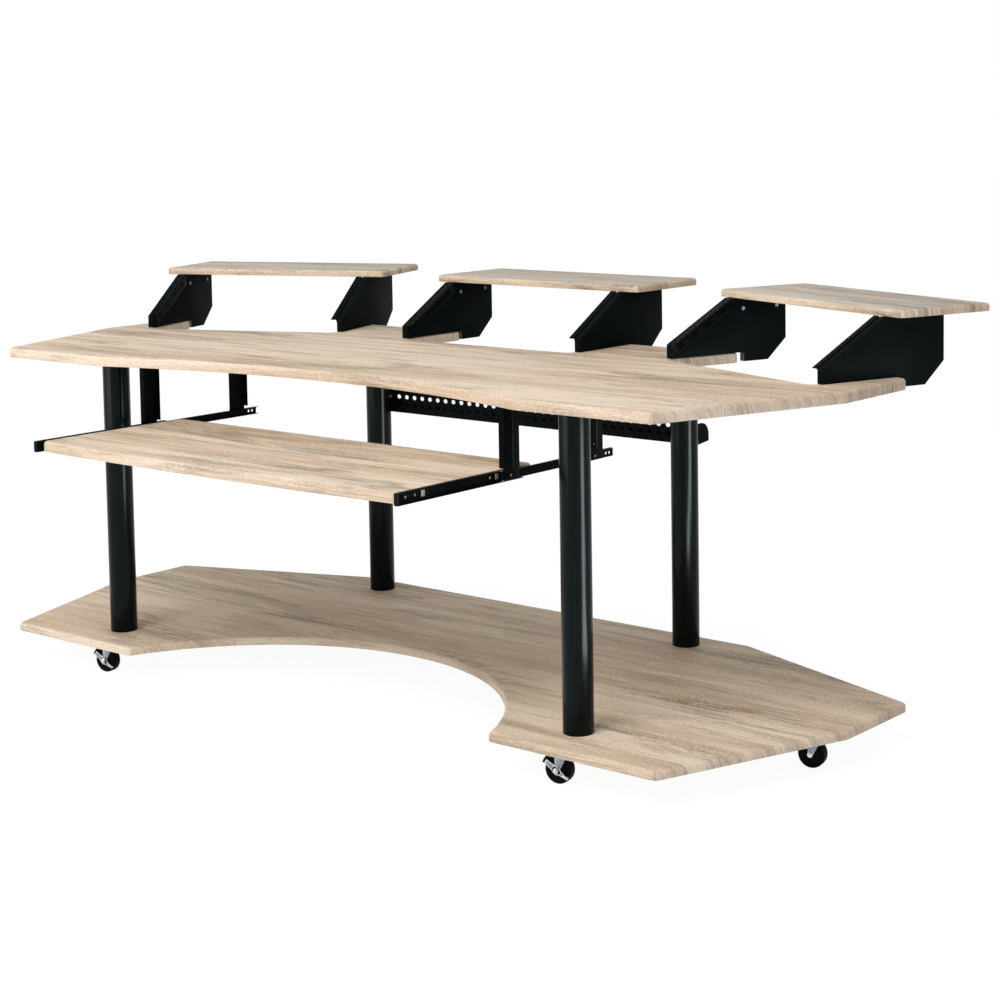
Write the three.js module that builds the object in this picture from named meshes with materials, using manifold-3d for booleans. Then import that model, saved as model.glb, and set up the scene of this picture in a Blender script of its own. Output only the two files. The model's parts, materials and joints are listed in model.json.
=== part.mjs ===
// A wide studio desk on casters: a base board and a desktop on four tube legs, three raised shelves
// over three sloping rack bays, a pull-out keyboard shelf on slides, and a cable tray between the rear legs.
// Millimetres, +Z up, +Y to the back. The floor is z = 0. The desk is alike left and right of x = 0,
// but for its casters, which all stand turned the same way.
import * as THREE from "three";
import { mergeVertices } from "three/addons/utils/BufferGeometryUtils.js";
import Module from "manifold-3d";

// Plan outline that the base board and the desktop share
const frontY = -408; // front edge
const frontHalf = 919; // half the width at the front corners
const sideHalf = 1070; // half the width at the side corners
const sideFrontY = 2;
const sideRearY = 226;
const rearHalf = 576; // half the length of the rear edge
const rearY = 407;
const cornerRadius = 14;
const edgeRound = 7; // rounded top edge of every board

// Base board
const casterHeight = 66.5;
const baseThickness = 18;
const footCutHalf = 525; // half the width of the foot cut-out at the front edge
const footCutDepth = 364;
const footCutSteps = 34;

// Legs
const legRadius = 30;
const legLength = 622.5;
const legWall = 1.5;
const legEndDisc = 4;
const legSides = 24;
const legSlideGap = 107; // between the front legs and the keyboard slides
const legFrontBack = 102.5; // behind the front edge
const legRearInset = 116.5; // from the rear corners
const legRearAhead = 74; // ahead of the rear edge
const legStudRadius = 5;
const legStudLength = 13;
const legBoltRadius = 5;
const legBoltReach = 6; // beyond the end disc
const legBoltHeadRadius = 9;
const legBoltHead = 5;
const boltSides = 12;

// Desktop
const desktopThickness = 22;
const bowHalf = 600; // half the width of the shallow bow in the front edge
const bowDepth = 95;
const bowSteps = 18;
const bowEndRadius = 90;
const bayCutDepth = 203;
const bayCutRadius = 22; // inner corners of the three rear cut-outs

// Rack bays
const bayGap = 500; // clear width between the two side boards of a bay
const sideBayMargin = 39.715; // slanted edge left between a side bay's cut and the side corner
const rackUnit = 44.45;
const rackUnits = 4;
const baySideThickness = 16;
const baySideHeight = 120;
const baySideNose = 29; // height of the upright front end
const baySideFront = 190; // how far a side board reaches onto the desktop
const baySideRear = 115; // how far it stands out behind the desktop
const baySideRearLow = 25; // where its upright rear end stops
const baySideTab = 20; // how far its tab hangs below the desktop's top
const baySideTabEnd = 66;
const notchGap = 2; // between the tab and the desktop's edge
const railSheet = 1.5;
const railFlange = 15;
const railWeb = 30;
const rackHoleFirst = 6.35; // first hole of each unit, from the unit's lower edge
const rackHoleStep = 15.875;
const rackHolesPerUnit = 3;
const rackHoleInset = 9.5; // hole line from the side board's inner face
const rackHoleRadius = 2.6;
const rackHoleSides = 6;
const railSlot = 9.5;

// Raised shelves
const riserOverhang = 37; // beyond the side boards
const riserDepth = 236;
const riserThickness = 16;
const riserFront = 27; // how far the front edge lies in front of the desktop's rear edge

// Keyboard shelf, its slides and their hangers
const shelfHalf = 514.5;
const shelfFrontY = -628;
const shelfDepth = 381; // at the shelf's ends
const shelfBow = 12; // bulge of the front edge
const shelfBowSteps = 12;
const shelfTopZ = 578;
const shelfThickness = 22;
const slideLength = 350;
const slideWidth = 12.5;
const slideSheet = 1.2;
const drawerMemberLead = 11; // in front of the shelf's front corners
const drawerMemberHeight = 23;
const drawerMemberFlange = 10;
const shelfPull = 279; // how far the shelf stands pulled out of its slides
const fixedMemberHeight = 16.4;
const fixedMemberFlange = 8;
const slideHoleRadius = 3;
const slideHoleSides = 8;
const slideHoleInset = 29; // first screw hole from the drawer member's front end
const slideHoleStep = 25; // second one
const slideEndHoleInset = 12; // first screw hole from the fixed member's rear end
const slideEndHoleStep = 11; // second one
const slideWindow = 12; // long side of the two oblong windows in the drawer member
const slideWindowHeight = 12;
const slideWindowInset = 76; // first window from the front end
const slideWindowRear = 68; // second window from the rear end
const slideHoleAhead = 20; // third screw hole, ahead of the second window
const cageLength = 60;
const cageSheet = 1;
const cageInset = 6; // cage behind the fixed member's front end
const hangerWidth = 45;
const hangerDepth = 12;
const hangerSheet = 1.5;
const hangerFrontInset = 10; // behind the fixed member's front end
const hangerRearInset = 35; // ahead of the fixed member's rear end
const hangerLift = 3; // channel flanges end this far above the drawer member

// Cable tray
const trayOverhang = 12.5; // beyond the middles of the rear legs
const trayBottomZ = 523;
const trayHeight = 56;
const trayDepth = 45;
const trayRise = 5; // the floor climbs to the back
const trayLip = 14;
const traySheet = 1.5;
const trayHoleRadius = 6;
const trayHoleSides = 6;
const trayHoleStep = 25.4;
const trayHoleMargin = 20; // least sheet left beside the end holes
const trayRowLow = 19;
const trayRowStep = 20;
const trayRows = 2;
const trayEndSteps = 8;

// Casters
const wheelRadius = 27.5;
const wheelWidth = 20;
const wheelSides = 24;
const wheelShoulder = 3;
const wheelHubRadius = 9;
const wheelHubInset = 2; // the side faces are dished this deep around the hub
const axleRadius = 3;
const axleSides = 12;
const axleHeadRadius = 5;
const axleHead = 2.4;
const casterTrail = 12; // wheel centre behind the swivel axis
const casterTurn = THREE.MathUtils.degToRad(10.8); // all casters stand turned alike
const casterPlate = 44;
const casterPlateThickness = 2.5;
const raceRadius = 13;
const raceHeight = 5;
const raceSides = 20;
const kingpinRadius = 3.5;
const kingpinHeadRadius = 5.5;
const kingpinHead = 1.2;
const crownThickness = 2.5;
const crownGap = 0.5; // running gap under the race
const forkSheet = 2;
const forkClearance = 1; // between wheel and fork leg
const forkBack = 17; // reach of the fork's top behind the swivel axis
const forkFront = 10;
const forkEndRadius = 5.5;
const frontWheelBeside = 135; // where the front wheels stand, beside the foot cut-out's ends
const frontWheelBack = 51; // and behind the front edge
const sideWheelInset = 77.5; // from the side edges
const sideWheelAhead = 2; // ahead of the side edges' front corners
const rearWheelInset = 56; // from the rear corners
const rearWheelAhead = 62; // ahead of the rear edge
const brakeSheet = 2;
const brakeAngle = THREE.MathUtils.degToRad(33); // the lever falls to the front at this slope
const brakeWidth = 11;
const brakeTailWidth = 4;
const brakeFrontReach = 27;
const brakeBackReach = 31;
const brakeSpreadShare = 0.45;
const padInnerGap = 1.6; // between tread and pad
const padThickness = 5;
const padStart = THREE.MathUtils.degToRad(122);
const padEnd = THREE.MathUtils.degToRad(160);
const padSteps = 4;

// Shared fits and tessellation
const fitGap = 0.3;
const cutOverrun = 5;
const roundSteps = 2;
const cornerSteps = 4;

// Heights and places that follow from the sizes above
const baseTopZ = casterHeight + baseThickness;
const desktopZ = baseTopZ + legLength;
const desktopTopZ = desktopZ + desktopThickness;
const rearCorner = new THREE.Vector2(rearHalf, rearY);
const slantEdge = new THREE.Vector2(sideHalf, sideRearY).sub(rearCorner);
const slantDirection = slantEdge.clone().normalize();
const slantOutward = new THREE.Vector2(-slantDirection.y, slantDirection.x);
const sideBayOffset = slantEdge.length() - sideBayMargin - bayGap / 2;
const sideBayCentre = rearCorner.clone().addScaledVector(slantDirection, sideBayOffset);
const slantAngle = slantDirection.angle();
const slopeLength = rackUnit * rackUnits;
const slopeRise = baySideHeight - baySideNose;
const slopeRun = Math.sqrt(slopeLength ** 2 - slopeRise ** 2);
const slopeAngle = Math.atan2(slopeRise, slopeRun);
const riserLength = bayGap + 2 * (baySideThickness + riserOverhang);
const slideMidZ = shelfTopZ - shelfThickness / 2;
const slideOuterX = shelfHalf + slideWidth;
const drawerMemberFrontY = shelfFrontY - drawerMemberLead;
const drawerMemberRearY = drawerMemberFrontY + slideLength;
const fixedMemberFrontY = drawerMemberFrontY + shelfPull;
const fixedMemberRearY = fixedMemberFrontY + slideLength;
const legFrontX = slideOuterX + legSlideGap + legRadius;
const legFrontY = frontY + legFrontBack;
const legRearX = rearHalf - legRearInset;
const legRearY = rearY - legRearAhead;
const trayHalf = legRearX + trayOverhang;
const trayHoleCount = Math.floor((2 * (trayHalf - trayHoleMargin)) / trayHoleStep) + 1;

// Finishes
const oak = { color: 0xcbb697, roughness: 0.55, metalness: 0 };
const blackTube = { color: 0x17191a, roughness: 0.35, metalness: 0.2 };
const blackPanel = { color: 0x14171a, roughness: 0.6, metalness: 0 };
const blackSheet = { color: 0x1a1c1d, roughness: 0.5, metalness: 0.3 };
const zinc = { color: 0x9aa3a8, roughness: 0.35, metalness: 0.9 };
const chrome = { color: 0xc9ccd0, roughness: 0.15, metalness: 1 };
const blackRubber = { color: 0x101112, roughness: 0.7, metalness: 0 };

const wasm = await Module();
wasm.setup();

// A closed geometry as a solid. Points on an axis leave flat triangles behind, which are dropped.
function solid(geometry) {
  const bare = geometry.clone();
  bare.deleteAttribute("normal");
  bare.deleteAttribute("uv");
  const merged = mergeVertices(bare, 1e-4);
  const kept = [];
  for (let i = 0; i < merged.index.count; i += 3) {
    const [a, b, c] = [0, 1, 2].map((k) => merged.index.getX(i + k));
    if (a !== b && b !== c && c !== a) kept.push(a, b, c);
  }
  return new wasm.Manifold(
    new wasm.Mesh({
      numProp: 3,
      vertProperties: new Float32Array(merged.attributes.position.array),
      triVerts: new Uint32Array(kept),
    }),
  );
}

function join(first, ...others) {
  return others.reduce((whole, other) => whole.add(other), first);
}

function cut(body, ...tools) {
  return tools.reduce((rest, tool) => rest.subtract(tool), body);
}

// A named mesh from a solid
function piece(name, body, finish) {
  const mesh = body.getMesh();
  const geometry = new THREE.BufferGeometry();
  geometry.setAttribute("position", new THREE.BufferAttribute(new Float32Array(mesh.vertProperties), 3));
  geometry.setIndex(new THREE.BufferAttribute(new Uint32Array(mesh.triVerts), 1));
  geometry.computeVertexNormals();
  const node = new THREE.Mesh(geometry, new THREE.MeshStandardMaterial(finish));
  node.name = name;
  return node;
}

// A block between two opposite corners, given in any order
function block(x0, x1, y0, y1, z0, z1) {
  const box = new THREE.BoxGeometry(Math.abs(x1 - x0), Math.abs(y1 - y0), Math.abs(z1 - z0));
  return solid(box.translate((x0 + x1) / 2, (y0 + y1) / 2, (z0 + z1) / 2));
}

// A round bar along Z from z0 to z1
function barZ(radius, x, y, z0, z1, sides) {
  const bar = new THREE.CylinderGeometry(radius, radius, z1 - z0, sides).rotateX(Math.PI / 2);
  return solid(bar.translate(x, y, (z0 + z1) / 2));
}

// A round bar along Y from y0 to y1
function barY(radius, x, z, y0, y1, sides) {
  const bar = new THREE.CylinderGeometry(radius, radius, y1 - y0, sides);
  return solid(bar.translate(x, (y0 + y1) / 2, z));
}

// A round bar along X from x0 to x1
function barX(radius, y, z, x0, x1, sides) {
  const bar = new THREE.CylinderGeometry(radius, radius, x1 - x0, sides).rotateZ(Math.PI / 2);
  return solid(bar.translate((x0 + x1) / 2, y, z));
}

// A profile of (y, z) points pushed along X from x0 to x1
function alongX(points, x0, x1) {
  const shape = new THREE.Shape(points);
  const slab = new THREE.ExtrudeGeometry(shape, { depth: Math.abs(x1 - x0), bevelEnabled: false });
  const turn = new THREE.Matrix4().makeBasis(
    new THREE.Vector3(0, 1, 0),
    new THREE.Vector3(0, 0, 1),
    new THREE.Vector3(1, 0, 0),
  );
  return solid(slab.applyMatrix4(turn).translate(Math.min(x0, x1), 0, 0));
}

// A profile of (x, z) points pushed along Y from y0 to y1
function alongY(points, y0, y1) {
  const shape = new THREE.Shape(points);
  const slab = new THREE.ExtrudeGeometry(shape, { depth: y1 - y0, bevelEnabled: false });
  return solid(slab.rotateX(Math.PI / 2).translate(0, y1, 0));
}

// A profile of (radius, height) points turned about Z
function turned(profile, sides) {
  return solid(new THREE.LatheGeometry(profile, sides).rotateX(Math.PI / 2));
}

const point = (x, y) => new THREE.Vector2(x, y);

// Points of an arc that bulges by depth over a straight line from start to end, ends included
function bowedLine(start, end, depth, steps) {
  const chord = end.clone().sub(start);
  const half = chord.length() / 2;
  const radius = (half ** 2 + depth ** 2) / (2 * Math.abs(depth));
  const normal = point(-chord.y, chord.x).normalize().multiplyScalar(Math.sign(depth));
  const centre = start.clone().add(end).divideScalar(2).addScaledVector(normal, Math.abs(depth) - radius);
  const from = start.clone().sub(centre);
  const sweep = -2 * Math.sign(depth) * Math.atan2(half, radius - Math.abs(depth));
  const points = [];
  for (let i = 0; i <= steps; i++) {
    points.push(centre.clone().add(from.clone().rotateAround(point(0, 0), (sweep * i) / steps)));
  }
  return points;
}

// The outline with each corner that carries a radius turned into an arc
function roundedCorners(corners) {
  const points = [];
  corners.forEach((corner, i) => {
    const before = corners.at(i - 1);
    const after = corners[(i + 1) % corners.length];
    if (!corner.round) {
      points.push(point(corner.x, corner.y));
      return;
    }
    const inward = point(corner.x - before.x, corner.y - before.y).normalize();
    const outward = point(after.x - corner.x, after.y - corner.y).normalize();
    const turn = Math.atan2(inward.cross(outward), inward.dot(outward));
    const back = corner.round * Math.tan(Math.abs(turn) / 2);
    const start = point(corner.x, corner.y).addScaledVector(inward, -back);
    const toCentre = point(-inward.y, inward.x).multiplyScalar(Math.sign(turn) * corner.round);
    const centre = start.clone().add(toCentre);
    for (let k = 0; k <= cornerSteps; k++) {
      points.push(start.clone().rotateAround(centre, (turn * k) / cornerSteps));
    }
  });
  return points;
}

// The outline moved inwards by a distance, with mitred corners
function insetOutline(outline, distance) {
  return outline.map((p, i) => {
    const before = p.clone().sub(outline.at(i - 1)).normalize();
    const after = outline[(i + 1) % outline.length].clone().sub(p).normalize();
    const normal = point(-before.y, before.x);
    const nextNormal = point(-after.y, after.x);
    const mitre = normal.clone().add(nextNormal).divideScalar(1 + normal.dot(nextNormal));
    return p.clone().addScaledVector(mitre, distance);
  });
}

// A board with a square lower edge and a rounded upper edge, standing on z = 0
function board(outline, thickness) {
  const levels = [{ inset: 0, z: 0 }];
  for (let i = 0; i <= roundSteps; i++) {
    const angle = ((Math.PI / 2) * i) / roundSteps;
    levels.push({
      inset: edgeRound * (1 - Math.cos(angle)),
      z: thickness - edgeRound + edgeRound * Math.sin(angle),
    });
  }
  const rings = levels.map((level) => insetOutline(outline, level.inset));
  const count = outline.length;
  const positions = rings.flatMap((ring, k) => ring.flatMap((p) => [p.x, p.y, levels[k].z]));
  const faces = [];
  for (const [a, b, c] of THREE.ShapeUtils.triangulateShape(rings[0], [])) faces.push(c, b, a);
  for (let k = 0; k + 1 < rings.length; k++) {
    for (let i = 0; i < count; i++) {
      const [low, lowNext] = [k * count + i, k * count + ((i + 1) % count)];
      const [high, highNext] = [low + count, lowNext + count];
      faces.push(low, lowNext, highNext, low, highNext, high);
    }
  }
  const top = (rings.length - 1) * count;
  for (const [a, b, c] of THREE.ShapeUtils.triangulateShape(rings.at(-1), [])) {
    faces.push(top + a, top + b, top + c);
  }
  const geometry = new THREE.BufferGeometry();
  geometry.setAttribute("position", new THREE.Float32BufferAttribute(positions, 3));
  geometry.setIndex(faces);
  return solid(geometry);
}

// A right-hand half outline, from the front middle to the rear middle, completed by its mirror image
function mirroredOutline(rightHalf) {
  const left = rightHalf
    .filter((corner) => corner.x !== 0)
    .map((corner) => ({ ...corner, x: -corner.x }))
    .reverse();
  return roundedCorners([...rightHalf, ...left]);
}

const corner = (x, y, round = 0) => ({ x, y, round });
const corners = (points) => points.map((p) => corner(p.x, p.y));

// The front edge's cut or bow, from the middle out to its end corner, which is left out
function frontCurve(half, depth, steps) {
  const whole = bowedLine(point(-half, frontY), point(half, frontY), depth, steps);
  return corners(whole.slice(steps / 2, steps).map((p, i) => point(i ? p.x : 0, p.y)));
}

// Where a side bay's place lies on the plan: along the slanted edge from the bay's centre, and behind it
function sideBayPoint(along, behind) {
  return sideBayCentre.clone().addScaledVector(slantDirection, along).addScaledVector(slantOutward, behind);
}

function baseBoard() {
  const outline = mirroredOutline([
    ...frontCurve(footCutHalf, footCutDepth, footCutSteps),
    corner(footCutHalf, frontY, cornerRadius),
    corner(frontHalf, frontY, cornerRadius),
    corner(sideHalf, sideFrontY, cornerRadius),
    corner(sideHalf, sideRearY, cornerRadius),
    corner(rearHalf, rearY, cornerRadius),
  ]);
  const holes = legPlaces().map(({ x, y }) =>
    barZ(legBoltRadius + fitGap, x, y, -cutOverrun, baseThickness + cutOverrun, boltSides),
  );
  const node = piece("base_board", cut(board(outline, baseThickness), ...holes), oak);
  node.position.z = casterHeight;
  return node;
}

function desktop() {
  const half = bayGap / 2;
  const outerRear = sideBayPoint(half, 0);
  const outerFloor = sideBayPoint(half, -bayCutDepth);
  const innerFloor = sideBayPoint(-half, -bayCutDepth);
  const toRear = (rearY - innerFloor.y) / slantOutward.y;
  const innerRear = innerFloor.clone().addScaledVector(slantOutward, toRear);
  const onSlant = sideBayOffset > half; // the cut then begins outside the rear corner
  const betweenCuts = onSlant ? [sideBayPoint(-half, 0), rearCorner] : [innerRear];
  const outline = mirroredOutline([
    ...frontCurve(bowHalf, bowDepth, bowSteps),
    corner(bowHalf, frontY, bowEndRadius),
    corner(frontHalf, frontY, cornerRadius),
    corner(sideHalf, sideFrontY, cornerRadius),
    corner(sideHalf, sideRearY, cornerRadius),
    corner(outerRear.x, outerRear.y, cornerRadius),
    corner(outerFloor.x, outerFloor.y, bayCutRadius),
    corner(innerFloor.x, innerFloor.y, bayCutRadius),
    ...betweenCuts.map(({ x, y }) => corner(x, y, cornerRadius)),
    corner(half, rearY, cornerRadius),
    corner(half, rearY - bayCutDepth, bayCutRadius),
  ]);
  const sockets = legPlaces().map(({ x, y }) =>
    barZ(legStudRadius + fitGap, x, y, -cutOverrun, legStudLength + fitGap, boltSides),
  );
  const node = piece("desktop", cut(board(outline, desktopThickness), ...sockets), oak);
  node.position.z = desktopZ;
  return node;
}

function legPlaces() {
  return [
    { name: "front_left", x: -legFrontX, y: legFrontY },
    { name: "front_right", x: legFrontX, y: legFrontY },
    { name: "rear_left", x: -legRearX, y: legRearY },
    { name: "rear_right", x: legRearX, y: legRearY },
  ];
}

// A tube with an end disc at each end: the lower one takes a bolt, the upper one carries a stud
function leg({ name, x, y }) {
  const inside = legRadius - legWall;
  const bore = legBoltRadius + fitGap;
  const body = turned(
    [
      point(0, legLength - legEndDisc),
      point(inside, legLength - legEndDisc),
      point(inside, legEndDisc),
      point(bore, legEndDisc),
      point(bore, 0),
      point(legRadius, 0),
      point(legRadius, legLength),
      point(legStudRadius, legLength),
      point(legStudRadius, legLength + legStudLength),
      point(0, legLength + legStudLength),
    ],
    legSides,
  );
  const node = piece("leg_" + name, body, blackTube);
  node.position.set(x, y, baseTopZ);
  return node;
}

// The bolt that holds a leg to the base board from below
function legBolt({ name, x, y }) {
  const shankTop = baseThickness + legEndDisc + legBoltReach;
  const shank = barZ(legBoltRadius, 0, 0, -legBoltHead / 2, shankTop, boltSides);
  const head = barZ(legBoltHeadRadius, 0, 0, -legBoltHead, 0, boltSides);
  const node = piece("leg_bolt_" + name, join(head, shank), zinc);
  node.position.set(x, y, casterHeight);
  return node;
}

// The side board of a rack bay, in (behind, above) of the desktop's rear edge and top
function baySide(name, side) {
  const inner = bayGap / 2;
  const profile = [
    point(-baySideFront, 0),
    point(notchGap, 0),
    point(notchGap, -baySideTab),
    point(baySideTabEnd, -baySideTab),
    point(baySideRear, baySideRearLow),
    point(baySideRear, baySideHeight),
    point(-baySideFront + slopeRun, baySideHeight),
    point(-baySideFront, baySideNose),
  ];
  return piece(name, alongX(profile, side * inner, side * (inner + baySideThickness)), blackPanel);
}

// The rack rail of a bay: an angle with the web on the side board and the drilled flange on the slope.
// It is made lying along Y with its flange on top, then tilted to the slope.
function bayRail(name, side) {
  const face = bayGap / 2 - fitGap;
  const web = block(side * face, side * (face - railSheet), 0, slopeLength, -railWeb, 0);
  const flange = block(side * face, side * (bayGap / 2 - railFlange), 0, slopeLength, 0, railSheet);
  const tools = [];
  for (let unit = 0; unit < rackUnits; unit++) {
    for (let hole = 0; hole < rackHolesPerUnit; hole++) {
      const along = unit * rackUnit + rackHoleFirst + hole * rackHoleStep;
      const across = side * (bayGap / 2 - rackHoleInset);
      tools.push(barZ(rackHoleRadius, across, along, -cutOverrun, cutOverrun, rackHoleSides));
    }
    const middle = (unit + 1 / 2) * rackUnit;
    const low = -railWeb / 2 - railSlot / 2;
    const slotEnds = [side * (face + cutOverrun), side * (face - cutOverrun)];
    tools.push(block(...slotEnds, middle - railSlot / 2, middle + railSlot / 2, low, low + railSlot));
  }
  const node = piece(name, cut(join(web, flange), ...tools), blackSheet);
  node.rotation.x = slopeAngle;
  node.position.set(0, -baySideFront, baySideNose + fitGap);
  return node;
}

function riserShelf(name) {
  const half = riserLength / 2;
  const outline = roundedCorners([
    corner(-half, -riserFront, cornerRadius),
    corner(half, -riserFront, cornerRadius),
    corner(half, riserDepth - riserFront, cornerRadius),
    corner(-half, riserDepth - riserFront, cornerRadius),
  ]);
  const node = piece(name, board(outline, riserThickness), oak);
  node.position.z = baySideHeight;
  return node;
}

// A rack bay with its raised shelf, in a frame on the desktop's top at the middle of the bay's rear edge
function rackBay(name, x, y, turn) {
  const bay = new THREE.Group();
  bay.position.set(x, y, desktopTopZ);
  bay.rotation.z = turn;
  bay.add(
    baySide(name + "_bay_side_left", -1),
    baySide(name + "_bay_side_right", 1),
    bayRail(name + "_bay_rail_left", -1),
    bayRail(name + "_bay_rail_right", 1),
    riserShelf(name + "_riser_shelf"),
  );
  return bay;
}

function keyboardShelf() {
  const front = bowedLine(point(-shelfHalf, shelfFrontY), point(shelfHalf, shelfFrontY), -shelfBow, shelfBowSteps);
  const outline = [
    corner(-shelfHalf, shelfFrontY, cornerRadius),
    ...corners(front.slice(1, -1)),
    corner(shelfHalf, shelfFrontY, cornerRadius),
    corner(shelfHalf, shelfFrontY + shelfDepth, cornerRadius),
    corner(-shelfHalf, shelfFrontY + shelfDepth, cornerRadius),
  ];
  const node = piece("keyboard_shelf", board(roundedCorners(outline), shelfThickness), oak);
  node.position.z = shelfTopZ - shelfThickness;
  return node;
}

// A channel of (x, z) points, open to +X: its web stands at webX and its flanges reach to flangeX
function channelProfile(webX, flangeX, height, sheet) {
  const half = height / 2;
  const toward = Math.sign(flangeX - webX);
  const inner = webX + toward * sheet;
  return [
    point(webX, -half),
    point(flangeX, -half),
    point(flangeX, -half + sheet),
    point(inner, -half + sheet),
    point(inner, half - sheet),
    point(flangeX, half - sheet),
    point(flangeX, half),
    point(webX, half),
  ];
}

// The channel along the shelf's end, which runs over the fixed member
function drawerMember(name, side) {
  const web = side * shelfHalf;
  const profile = channelProfile(web, side * (shelfHalf + drawerMemberFlange), drawerMemberHeight, slideSheet);
  const body = alongY(profile, drawerMemberFrontY, drawerMemberRearY);
  const through = [side * (shelfHalf - cutOverrun), side * (shelfHalf + slideSheet + cutOverrun / 2)];
  const lowHigh = [Math.min(...through), Math.max(...through)];
  const windowYs = [drawerMemberFrontY + slideWindowInset, drawerMemberRearY - slideWindowRear];
  const firstHoleY = drawerMemberFrontY + slideHoleInset;
  const holeYs = [firstHoleY, firstHoleY + slideHoleStep, windowYs[1] - slideHoleAhead];
  const holes = holeYs.map((y) => barX(slideHoleRadius, y, 0, ...lowHigh, slideHoleSides));
  const windows = windowYs.map((y) =>
    block(...lowHigh, y - slideWindow / 2, y + slideWindow / 2, -slideWindowHeight / 2, slideWindowHeight / 2),
  );
  const node = piece(name, cut(body, ...holes, ...windows), blackSheet);
  node.position.z = slideMidZ;
  return node;
}

// The channel that the hangers carry
function fixedMember(name, side) {
  const web = side * slideOuterX;
  const profile = channelProfile(web, side * (slideOuterX - fixedMemberFlange), fixedMemberHeight, slideSheet);
  const body = alongY(profile, fixedMemberFrontY, fixedMemberRearY);
  const through = [side * (slideOuterX - slideSheet - cutOverrun / 2), side * (slideOuterX + cutOverrun)];
  const lowHigh = [Math.min(...through), Math.max(...through)];
  const lastHoleY = fixedMemberRearY - slideEndHoleInset;
  const holes = [lastHoleY, lastHoleY - slideEndHoleStep].map((y) =>
    barX(slideHoleRadius, y, 0, ...lowHigh, slideHoleSides),
  );
  const node = piece(name, cut(body, ...holes), blackSheet);
  node.position.z = slideMidZ;
  return node;
}

// The ball cage between the two members: a strip in each ball race, joined by a thin web
function ballCage(name, side) {
  const outside = drawerMemberHeight / 2 - slideSheet - fitGap;
  const inside = fixedMemberHeight / 2 + fitGap;
  const web = side * (shelfHalf + slideSheet + fitGap);
  const reach = side * (shelfHalf + drawerMemberFlange - slideSheet);
  const webEdge = web + side * cageSheet;
  const front = fixedMemberFrontY + cageInset;
  const rear = front + cageLength;
  const body = join(
    block(web, webEdge, front, rear, -outside, outside),
    block(web, reach, front, rear, inside, outside),
    block(web, reach, front, rear, -outside, -inside),
  );
  const node = piece(name, body, zinc);
  node.position.z = slideMidZ;
  return node;
}

// The channel that hangs a slide from the desktop
function slideHanger(name, side, frontEdge) {
  const webIn = side * slideOuterX;
  const webOut = side * (slideOuterX + hangerSheet);
  const flangeIn = side * (slideOuterX - hangerDepth);
  const rearEdge = frontEdge + hangerWidth;
  const lowest = slideMidZ - fixedMemberHeight / 2;
  const flangeLow = slideMidZ + drawerMemberHeight / 2 + hangerLift;
  const body = join(
    block(webIn, webOut, frontEdge, rearEdge, lowest, desktopZ),
    block(flangeIn, webOut, frontEdge, frontEdge + hangerSheet, flangeLow, desktopZ),
    block(flangeIn, webOut, rearEdge - hangerSheet, rearEdge, flangeLow, desktopZ),
    block(flangeIn, webOut, frontEdge, rearEdge, desktopZ - hangerSheet, desktopZ),
  );
  return piece(name, body, blackSheet);
}

// The trough behind the rear legs: a drilled front wall, a climbing floor, a rear lip and quarter-round ends
function cableTray() {
  const front = legRearY + legRadius + fitGap;
  const rear = front + trayDepth;
  const profile = [
    point(front, 0),
    point(rear, trayRise),
    point(rear, trayRise + trayLip),
    point(rear - traySheet, trayRise + trayLip),
    point(rear - traySheet, trayRise + traySheet),
    point(front + traySheet, traySheet),
    point(front + traySheet, trayHeight),
    point(front, trayHeight),
  ];
  const endProfile = [point(front, 0), point(rear, trayRise)];
  for (let i = 0; i <= trayEndSteps; i++) {
    const angle = ((Math.PI / 2) * i) / trayEndSteps;
    const top = trayRise + (trayDepth - trayRise) * Math.sin(angle);
    endProfile.push(point(front + trayDepth * Math.cos(angle), top + trayLip * Math.cos(angle)));
  }
  const body = join(
    alongX(profile, -trayHalf, trayHalf),
    alongX(endProfile, -trayHalf, -trayHalf + traySheet),
    alongX(endProfile, trayHalf - traySheet, trayHalf),
  );
  const holes = [];
  for (let row = 0; row < trayRows; row++) {
    for (let i = 0; i < trayHoleCount; i++) {
      const x = (i - (trayHoleCount - 1) / 2) * trayHoleStep;
      const z = trayRowLow + row * trayRowStep;
      holes.push(barY(trayHoleRadius, x, z, front - cutOverrun, front + traySheet + cutOverrun, trayHoleSides));
    }
  }
  const node = piece("cable_tray", cut(body, ...holes), blackSheet);
  node.position.z = trayBottomZ;
  return node;
}

// The plate under the base board with the swivel race and the kingpin, which the fork turns on
function casterMount(name) {
  const half = casterPlate / 2;
  const plateZ = casterHeight - casterPlateThickness;
  const raceZ = plateZ - raceHeight;
  const crownZ = raceZ - crownGap - crownThickness;
  const pinHeadTop = crownZ - fitGap;
  const body = join(
    block(-half, half, -half, half, plateZ, casterHeight),
    barZ(raceRadius, 0, 0, raceZ, plateZ, raceSides),
    barZ(kingpinRadius, 0, 0, pinHeadTop - kingpinHead / 2, raceZ + raceHeight / 2, boltSides),
    barZ(kingpinHeadRadius, 0, 0, pinHeadTop - kingpinHead, pinHeadTop, boltSides),
  );
  return piece("caster_plate_" + name, body, zinc);
}

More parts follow.
